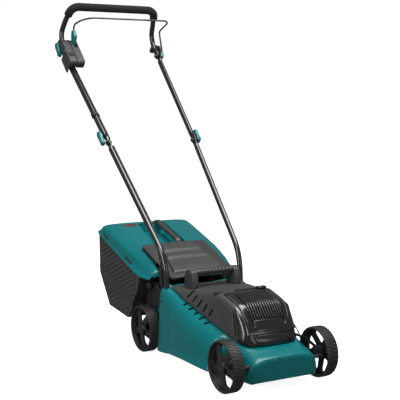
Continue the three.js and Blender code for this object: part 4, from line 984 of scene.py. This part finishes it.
UPPER_SIDE = [(575, band(575, 12)), (838, band(838, 12)), (842, 343), (600, 267), (524, 243), (536, 200),
              (570, 152)]
LOWER_SIDE = [(612, 90), (759, 104), (838, 208), (838.5, band(838, 12)), (575, band(575, 12))]
RAISED = [(590, band(590)), (836, band(836)), (839, band(839, BAND_TALL)), (568, band(568, BAND_TALL))]
for hand, side in (("right", -1), ("left", 1)):
    borders = [plate([fillet(field, 4), fillet(shrunk(field, 5), 3)], *faces(side, *BORDER_FACES), 0.3)
               for field in (UPPER_FIELD, LOWER_FIELD)]
    raised = plate([fillet(RAISED, 5)], *faces(side, *BAND_FACES), 0.8)
    grille = [plate([outline, *net(field)], *faces(side, *NET_FACES), 0.25, steps=0)
              for outline, field in ((UPPER_SIDE, UPPER_FIELD), (LOWER_SIDE, LOWER_FIELD))]
    piece(f"basket_net_{hand}", joined(*grille), "grass_box", web_painted_highlight)
    piece(f"basket_band_{hand}", joined(raised, *borders), "grass_box", net_black)
    catches = [plate([fillet(along_lip(y - 24, y + 24, -8, 18), 4)], *faces(side, *CATCH_FACES), 0.4)
               for y in CATCHES]
    piece(f"basket_catch_{hand}", joined(*catches), "grass_box", net_black)
    # a near-black sheet of painted shade behind each side's nets
    piece(f"basket_shade_sheet_{hand}", plate([fillet(SIDE, 5)], *faces(side, *SHADE_SHEET_FACES), 0.3), "grass_box",
          shade_sheet_paint)
HOOP = [(613, 89.5), (759, 104), (838, 208), (841, 349)]
hoop = [tuple(point) for point in fillet(HOOP, 14, closed=False)]
front_edge = [(524, 243), (536, 200), (612, 90)]
floor_path = [(482, 107), (606, 107), (620, 95)]
mouth = [(482, 107), (606, 107), (606, 262), (540, 240), (482, 222)]
basket = joined(strip(hoop, 3, -171.5, 171.5), strip(front_edge, 3, -171.5, -120),
                strip(front_edge, 3, 120, 171.5), strip(floor_path, 3, -122, 122),
                plate([fillet(mouth, 5)], -122, -119, 0.6), plate([fillet(mouth, 5)], 119, 122, 0.6),
                *[strip([(y, z) for y, z in ((839.2, 226 + 26 * i), (839.7, 244 + 26 * i))], -2.6, -140, 140)
                  for i in range(4)])
piece("basket_body", basket, "grass_box", net_black, ["grass_basket"])

# ---- handle tubes --------------------------------------------------------------------------------
# 19 mm steel tube in gloss black powder coat. At the four folds the ends are pressed flat and lapped
# over each other: lower and upper tube inside, middle tube outside, one bolt through each pair.
TUBE = 9.5
FLAT, PRESSED = 2.3, 34
FOLD_LOW, FOLD_UP = Vector((169, 766, 667)), Vector((191.5, 1095, 977))
ABOVE = Vector((188, 1127, 1022))
SOCKET, BEND = Vector((135, 394, 150)), Vector((137, 405, 312))
CORNER = [Vector((186, 1137, 1058)), Vector((179, 1108, 1104)), Vector((170, 1082, 1136)),
          Vector((150, 1077, 1148))]
powder = Paint("powder_coat", coat_weight=0.7, coat_roughness=0.06)
powder_cloud = powder.noise(14.0, 4.0)
powder.set("base color", powder.mix(powder_cloud, (0.008, 0.008, 0.0085), (0.014, 0.014, 0.015)))
powder.set("roughness", powder.noise(60.0, 5.0, (1, 0.4, 0.4)) * 0.2 + 0.12)
powder.bump(powder.noise(330.0, 2.0), 0.35, 0.00006)
powder_coat = powder.material


def swept(path, radius, steps=5):
    """A round bar along points in millimetres, closed at both ends."""
    curve = bpy.data.curves.new("bar", "CURVE")
    curve.dimensions = "3D"
    curve.bevel_depth = radius / 1000
    curve.bevel_resolution = steps
    curve.use_fill_caps = True
    spline = curve.splines.new("POLY")
    spline.points.add(len(path) - 1)
    for point, place in zip(spline.points, path):
        point.co = (*at(*place), 1)
    return from_curve(curve)


def sided(points, side):
    """Points of the left half on one side or the other."""
    return [Vector((side * point[0], point[1], point[2])) for point in points]


def toward(start, end, distance):
    """The point at a distance from the first on the way to the second."""
    return start + (end - start).normalized() * distance


def flat_end(bolt, goal, side, lane):
    """A tube end pressed flat: rings from the round tube to a rounded tip behind the bolt."""
    bolt, goal = sided([bolt, goal], side)
    way = Vector((0, goal.y - bolt.y, goal.z - bolt.z)).normalized()
    across = Vector((0, -way.z, way.y))
    lean = (goal.x - bolt.x) / Vector((goal.y - bolt.y, goal.z - bolt.z)).length
    table = [(PRESSED, TUBE, TUBE, 0), (31, 9.3, 9.7, 0.05), (27, 7.6, 10.6, 0.25), (22, 4.6, 11.6, 0.65),
             (17, FLAT, 12, 1), (10, FLAT, 12, 1), (0, FLAT, 12, 1), (-5, FLAT, 10.9, 1), (-9, FLAT, 7.9, 1),
             (-11.5, FLAT, 3.4, 1)]
    rows = []
    for along, thin, wide, press in table:
        middle = bolt + way * along + Vector((lean * along * (1 - press), 0, 0))
        middle.x += side * lane * (FLAT + 0.25) * press
        ring = []
        for i in range(24):
            angle = 2 * math.pi * i / 24
            power = 1 - 0.55 * press
            cos, sin = math.cos(angle), math.sin(angle)
            ring.append(at(*(middle + Vector((math.copysign(abs(cos) ** power, cos) * thin, 0, 0))
                             + across * math.copysign(abs(sin) ** power, sin) * wide)))
        rows.append(ring + ring[:1])
    bm = cage(rows)
    bmesh.ops.remove_doubles(bm, verts=bm.verts, dist=5 * WELD)
    bmesh.ops.holes_fill(bm, edges=[edge for edge in bm.edges if edge.is_boundary])
    return bm


INNER, OUTER = -1, 1
for hand, side in (("right", -1), ("left", 1)):
    path = fillet([SOCKET, BEND, toward(FOLD_LOW, BEND, PRESSED)], 60, 8, closed=False)
    lower = joined(swept(sided(path, side), TUBE, 7), flat_end(FOLD_LOW, BEND, side, INNER))
    piece(f"lower_leg_{hand}", lower, "deck", powder_coat, [f"lower_tube_{hand}"])
    path = [toward(FOLD_LOW, FOLD_UP, PRESSED), toward(FOLD_UP, FOLD_LOW, PRESSED)]
    middle = joined(swept(sided(path, side), TUBE, 7), flat_end(FOLD_LOW, FOLD_UP, side, OUTER),
                    flat_end(FOLD_UP, FOLD_LOW, side, OUTER))
    piece(f"middle_leg_{hand}", middle, "mid_handle", powder_coat, [f"mid_tube_{hand}"])
half_bar = [toward(FOLD_UP, ABOVE, PRESSED), ABOVE, *CORNER]
whole_bar = fillet(sided(half_bar, -1) + sided(half_bar[::-1], 1), 26, 4, closed=False)
ends = [flat_end(FOLD_UP, ABOVE, side, INNER) for side in (-1, 1)]
piece("top_bar", joined(swept(whole_bar, TUBE, 7), *ends), "upper_handle", powder_coat,
      ["upper_tube"])

# ---- grip ----------------------------------------------------------------------------------------
# A sleeve of closed-cell foam covers the top bar and both of its corners.
foam = Paint("closed_cell_foam", sheen_weight=0.06, sheen_roughness=0.6, specular_ior_level=0.3)
cells = foam.noise(1500.0, 3.0)
foam.set("base color", foam.mix(foam.noise(30.0, 4.0), (0.005, 0.005, 0.005), (0.011, 0.011, 0.011)))
foam.set("roughness", cells * 0.15 + 0.8)
foam.bump(cells, 0.9, 0.0004)
grip_path = [point for point in whole_bar if point.z > 1116]
grip = swept(grip_path, 15, 9)
bmesh.ops.bevel(grip, geom=[edge for edge in grip.edges if edge.calc_face_angle(0) > 1.0], offset=0.003,
                segments=3, affect="EDGES", profile=0.5)
piece("grip_foam", grip, "upper_handle", foam.material, ["grip_sleeve"], sharp=60)

# ---- fold bolts and quick releases ---------------------------------------------------------------
# A bolt with a washer and a hexagon nut on the inside, and a teal cam lever on the outside of each
# fold. The lever's paddle lies along the tube when it is clamped.
CAM_OUT = 17.5
teal_lever = moulded("teal_nylon", (0.0, 0.165, 0.17), 0.33, 900.0, 0.00006, coat_weight=0.2)


def disc_x(y, z, radius, low, high, edge):
    """A round plate across X."""
    return plate([oval(y, z, radius, radius, 28)], *sorted((low, high)), edge)


def fold_bolt(name, body, bolt, side):
    """Shank, washer and nut through one fold."""
    h, y, z = bolt
    shank = swept([(side * (h - 14), y, z), (side * (h + 9), y, z)], 3, 4)
    washer = disc_x(y, z, 9, side * (h - 7.4), side * (h - 5.6), 0.3)
    nut = plate([oval(y, z, 7, 7, 6)], *faces(side, h - 12.5, h - 7.4), 0.7)
    piece(f"{name}_set", joined(shank, washer, nut), body, dark_steel, [name])


def cam_lever(name, body, bolt, goal, side):
    """The eccentric drum and its paddle, with a thumb rib along the paddle."""
    h, y, z = bolt
    way = Vector((goal.y - y, goal.z - z)).normalized()
    across = Vector((-way.y, way.x))
    middle = h + CAM_OUT

    def lever_plate(outline, radius, low, high, edge):
        loop = [(y + u * way.x + v * across.x, z + u * way.y + v * across.y) for u, v in outline]
        return plate([fillet(loop, radius)], *faces(side, middle + low, middle + high), edge)

    reach = Vector((0, across.x, across.y)) * 9
    centre = Vector((side * middle, y, z))
    drum = swept([centre - reach, centre - reach * 0.93, centre + reach * 0.93, centre + reach], 8, 6)
    paddle = lever_plate([(-2, -8.5), (20, -9.5), (34, -12), (46, -9), (49, 0), (46, 9), (34, 12), (20, 9.5),
                          (-2, 8.5)], 6, -4, 8, 2.6)
    rib = lever_plate([(2, -3), (40, -5), (44, 0), (40, 5), (2, 3)], 3, 7, 9, 0.9)
    pin = swept([centre - reach * 1.08, centre + reach * 1.08], 2.6, 4)
    piece(f"{name}_body", joined(drum, paddle, rib), body, teal_lever, [name])
    piece(f"{name}_pin", pin, body, dark_steel)


for hand, side in (("right", -1), ("left", 1)):
    fold_bolt(f"lower_clamp_bolt_{hand}", "mid_handle", FOLD_LOW, side)
    fold_bolt(f"upper_clamp_bolt_{hand}", "upper_handle", FOLD_UP, side)
    cam_lever(f"lower_cam_lever_{hand}", f"lower_cam_{hand}", FOLD_LOW, FOLD_UP, side)
    cam_lever(f"upper_cam_lever_{hand}", f"upper_cam_{hand}", FOLD_UP, ABOVE, side)

# ---- switch box ----------------------------------------------------------------------------------
# The control box hangs on the operator's right leg just under the fold: two grained grey shells with
# a parting groove, a strap round the tube, a sprung start button and two sealed cable glands.
RUN_UP = Vector((0, FOLD_UP.y - FOLD_LOW.y, FOLD_UP.z - FOLD_LOW.z)).normalized()
RUN_OFF = Vector((0, -RUN_UP.z, RUN_UP.y))


def at_fold(along, off):
    """(y, z) of a point given along the handle from the upper fold and off it to the front."""
    point = FOLD_UP + RUN_UP * along + RUN_OFF * off
    return point.y, point.z


def fold_plate(outline, low, high, edge, radius, steps=2):
    """A plate across X whose outline is given from the upper fold."""
    return plate([fillet([at_fold(*pair) for pair in outline], radius)], low, high, edge, steps=steps)


BOX_RIGHT, BOX_LEFT = -208, -148
PADDLE = (-168, -156)
STRAP = [(31, -14), (31, 14), (46, 14), (46, -14)]
SHELL = [(-92, 13), (-92, 38), (-84, 45), (22, 45), (50, 26), (54, 13)]
SHELL_IN = [(-89, 14), (-89, 37), (-82.5, 42), (21, 42), (47, 25), (51, 14)]
BACK = [(-92, -11), (-92, 14), (-20, 14), (-20, -11)]
lane = [(-14, 10), (-14, 60), (70, 60), (70, 10)]
outer_shell = piece("control_box", fold_plate(SHELL, BOX_RIGHT, -179, 4, 8, steps=4), "upper_handle",
                    grey_grain, ["switch_box"])
inner_shell = piece("control_box_inner", fold_plate(SHELL, -178.5, BOX_LEFT, 4, 8, steps=4), "upper_handle",
                    grey_grain)
seam_plate = joined(fold_plate(SHELL_IN, -180.5, -177, 0.3, 8), fold_plate(BACK, BOX_RIGHT, -204, 1.2, 6))
piece("control_box_seam", seam_plate, "upper_handle", smooth_grey)
BUTTON = [(-59.5, 33), (-59.5, 60), (-44.5, 60), (-44.5, 33)]
cut_with(inner_shell, fold_plate(lane, PADDLE[0] - 1, PADDLE[1] + 1, 0.2, 3))
cut_with(outer_shell, fold_plate(BUTTON, -200.4, -183.6, 0.2, 2))
trim = joined(fold_plate([(-88, 24), (-88, 31), (16, 31), (22, 24)], -209, -206.5, 0.7, 3),
              fold_plate([(-12, 33), (-12, 39), (12, 39), (12, 33)], -209, -206.5, 0.7, 2))
piece("control_box_trim", trim, "upper_handle", smooth_grey)
tube_strap = piece("tube_strap", fold_plate(STRAP, -204, -168, 1.5, 4), "upper_handle",
                   grey_grain)
STRAPPED = [toward(FOLD_UP, ABOVE, 8), *half_bar]
cut_with(tube_strap, swept(sided(STRAPPED, -1), TUBE + 0.3, 7))
glands = [swept([(x, *at_fold(-91, 28)), (x, *at_fold(-92.6, 28))], 6.5, 5) for x in (-192, -166)]
piece("cable_glands", joined(*glands), "upper_handle", matt_black)
screws = [disc_x(*at_fold(along, off), 3.4, -209, -206, 0.8) for along, off in ((-80, 36), (30, 33))]
piece("control_box_screws", joined(*screws), "upper_handle", dark_steel)
# a small red spot on the box, lightened to pink: its red is its own, the pale pink is a painted highlight
red_spot_paint = moulded("red_with_painted_highlight", (0.45, 0.12, 0.12), 0.3, 900.0, 0.00003)
piece("red_spot_highlight", fold_plate([(-34, 39), (-34, 43), (-24, 43), (-24, 39)], -208.6, -206, 0.5, 1.5),
      "upper_handle", red_spot_paint)
button = joined(fold_plate([(-59, 38), (-59, 50), (-45, 50), (-45, 38)], -199.6, -184.4, 1.4, 3, steps=3),
                fold_plate([(-55, 49), (-55, 50.4), (-49, 50.4), (-49, 49)], -196, -188, 0.5, 1))
piece("start_key", button, "start_button", matt_black, ["start_button"])

# ---- bail ----------------------------------------------------------------------------------------
# The operator holds this rod against the bar to keep the blade turning. On the right it ends in a
# teal paddle that works the switch, on the left in a hook that turns in a bracket on the tube.
PIVOT_FOLD = at_fold(6, 22)
paddle = plate([fillet([(PIVOT_FOLD[0] - 8, PIVOT_FOLD[1]), (PIVOT_FOLD[0] + 8, PIVOT_FOLD[1]), (1087, 1060),
                        (1070, 1065), (1055, 1040)], 6)], *PADDLE, 2.6, steps=4)
hub = disc_x(*PIVOT_FOLD, 8, *PADDLE, 1.4)
piece("bail_key", joined(paddle, hub), "bail", teal_lever, ["bail_paddle"])
FAR = FOLD_UP.x + 13.6
bail_path = [(-162, 1077, 1065.8), (-162, 1068, 1084), (-146, 1038, 1098), (-112, 1022, 1106),
             (188, 1020, 1106), (FAR, 1036, 1100), (FAR, 1108, 1072), (FAR, *PIVOT_FOLD),
             (FOLD_UP.x + 2, *PIVOT_FOLD)]
piece("bail_bar", swept(fillet(bail_path, 14, 6, closed=False), 3.2, 6), "bail", powder_coat,
      ["bail_rod"])
lug = fold_plate([(30, 12), (45, 11), (45, 18), (12, 31), (0, 29), (-3, 21), (3, 14.5)], FOLD_UP.x + 3,
                 FOLD_UP.x + 8, 1.2, 5)
piece("bail_lug", lug, "upper_handle", matt_black, ["bail_bracket"])
bail_strap = piece("bail_strap", fold_plate(STRAP, FOLD_UP.x - 15, FOLD_UP.x + 12, 1.5, 5), "upper_handle",
                   matt_black)
cut_with(bail_strap, swept(sided(STRAPPED, 1), TUBE + 0.3, 7))

# ---- cable ---------------------------------------------------------------------------------------
# One black cable runs down the inside of the right leg from the control box to the deck. A clip
# holds it over the lower fold, a round knob ties it at the bend and a boot takes it into the deck.
jacket = moulded("cable_rubber", (0.012, 0.012, 0.0125), 0.42, 900.0, 0.00004)
CABLE_OFF = TUBE + 4
up = Vector((-FOLD_UP.x + CABLE_OFF, *FOLD_UP.yz))
down = Vector((-FOLD_LOW.x + CABLE_OFF, *FOLD_LOW.yz))
bend = Vector((-BEND.x + CABLE_OFF, *BEND.yz))
piece("cable_upper", swept([toward(up, down, 62), toward(down, up, 16)], 3, 5), "mid_handle",
      jacket, ["cable_mid"])
route = [toward(down, bend, 16), toward(bend, down, 130), (-125, 474, 356), (-138, 450, 328),
         (-143, 427, 304), (-143, 426, 288.5)]
piece("cable_lower", swept(fillet(route, 30, 6, closed=False), 3, 5), "deck", jacket,
      ["cable_low"])
BOOT = [(412.5, 203), (412.5, 236), (414, 250), (420, 287), (432, 287), (432, 262), (424, 234), (418, 224),
        (418, 203)]
boot_ribs = [plate([fillet([(y - 7.5, z - 1.2), (y + 7.5, z - 2), (y + 7.5, z + 1), (y - 7.5, z + 1.8)], 1)],
                   -150, -136, 0.9) for y, z in ((424.5, 262), (425, 269), (425.5, 276))]
piece("cable_sleeve", joined(plate([fillet(BOOT, 4)], -149, -137, 2.2), *boot_ribs), "deck",
      matt_black, ["cable_boot"])
clip_at = toward(Vector((-FOLD_LOW.x, *FOLD_LOW.yz)), Vector((-FOLD_UP.x, *FOLD_UP.yz)), 132)
stops = [clip_at + RUN_UP * along for along in (-7, -6.4, 6.4, 7)]
beside = Vector((CABLE_OFF, 0, 0))
clip = joined(swept(stops, 12, 6), swept([stops[0] + beside, stops[-1] + beside], 5.2, 5))
piece("cable_tie", clip, "mid_handle", matt_black, ["cable_clip"])
for hand, side in (("right", -1), ("left", 1)):
    low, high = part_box(f"tube_bolt_{hand}")
    y, z = mm((low + high) / 2)[1:]
    bolt = joined(swept([(low.x * 1000, y, z), (high.x * 1000, y, z)], 2.8, 4),
                  disc_x(y, z, 6, side * 150, side * 154, 1.4))
    piece(f"foot_bolt_{hand}", bolt, "deck", dark_steel, [f"tube_bolt_{hand}"])

# ---- dome fittings -------------------------------------------------------------------------------
# Round the dome: a fine pale line of painted highlight where lid and hood meet, an oval finger recess on the
# near side, a rubber tab at the far rear corner and an open wire loop that stays the lid on the far side.
LINE = [(60, 14, 150), (66, 22, 168), (72, 38, 194), (76.5, 60, 219.5), (77.5, 92, 231.5), (77, 128, 241.5)]
# a pale grey line on each rounded shoulder of the gloss black lid frame: a painted highlight
highlight_line_paint = moulded("painted_highlight_line", (0.16, 0.16, 0.16), 0.4, 900.0, 0.00003)
lines = [swept(fillet([(side * x, y, z + 1.0) for x, y, z in LINE], 12, 5, closed=False), 0.8, 2)
         for side in (-1, 1)]
piece("lid_highlight_line", joined(*lines), "battery_lid", highlight_line_paint)
# the recess is not cut: a matt black ring and disc lie on the hood as painted shade for its hollow
finger, rim = oval(-84, 172, 15, 8, 32), oval(-84, 172, 17, 10, 32)
recess = joined(plate([rim, finger], 243.6, 246.2, 0.7, TURN_XY),
                plate([finger], 243.2, 244.4, 0.2, TURN_XY))
piece("finger_recess_shade", recess, "deck", matt_black)
STAY = [(96, 40, 158), (100, 36, 150), (104, 22, 133), (103, 12, 117), (97, 8, 111), (90, 10, 112)]
piece("lid_stay", swept(fillet(STAY, 8, 6, closed=False), 2.0, 4), "deck", matt_black)

# ---- pieces inside -------------------------------------------------------------------------------
# Battery tray and packs, controller, motor and cutter keep their drawn shapes under their own paints.
pack_black = moulded("pack_plastic", (0.020, 0.020, 0.021), 0.45, 800.0, 0.0001)
alloy = plated("cast_alloy", (0.42, 0.43, 0.44), 0.42, (1, 1, 0.05))
glass_nylon = moulded("glass_filled_nylon", (0.015, 0.015, 0.015), 0.5, 500.0, 0.0001)
INSIDE = {
    "battery_tray": grey_grain, "battery_pack_right": pack_black, "battery_pack_left": pack_black,
    "controller_box": pack_black, "motor_can": alloy, "rotor": zinc, "blade_holder": glass_nylon,
    "blade": blade_steel, "blade_bolt": zinc, "link_rod": dark_steel, "flap_spring": dark_steel,
}
for node, paint in INSIDE.items():
    repaint(paint, node)
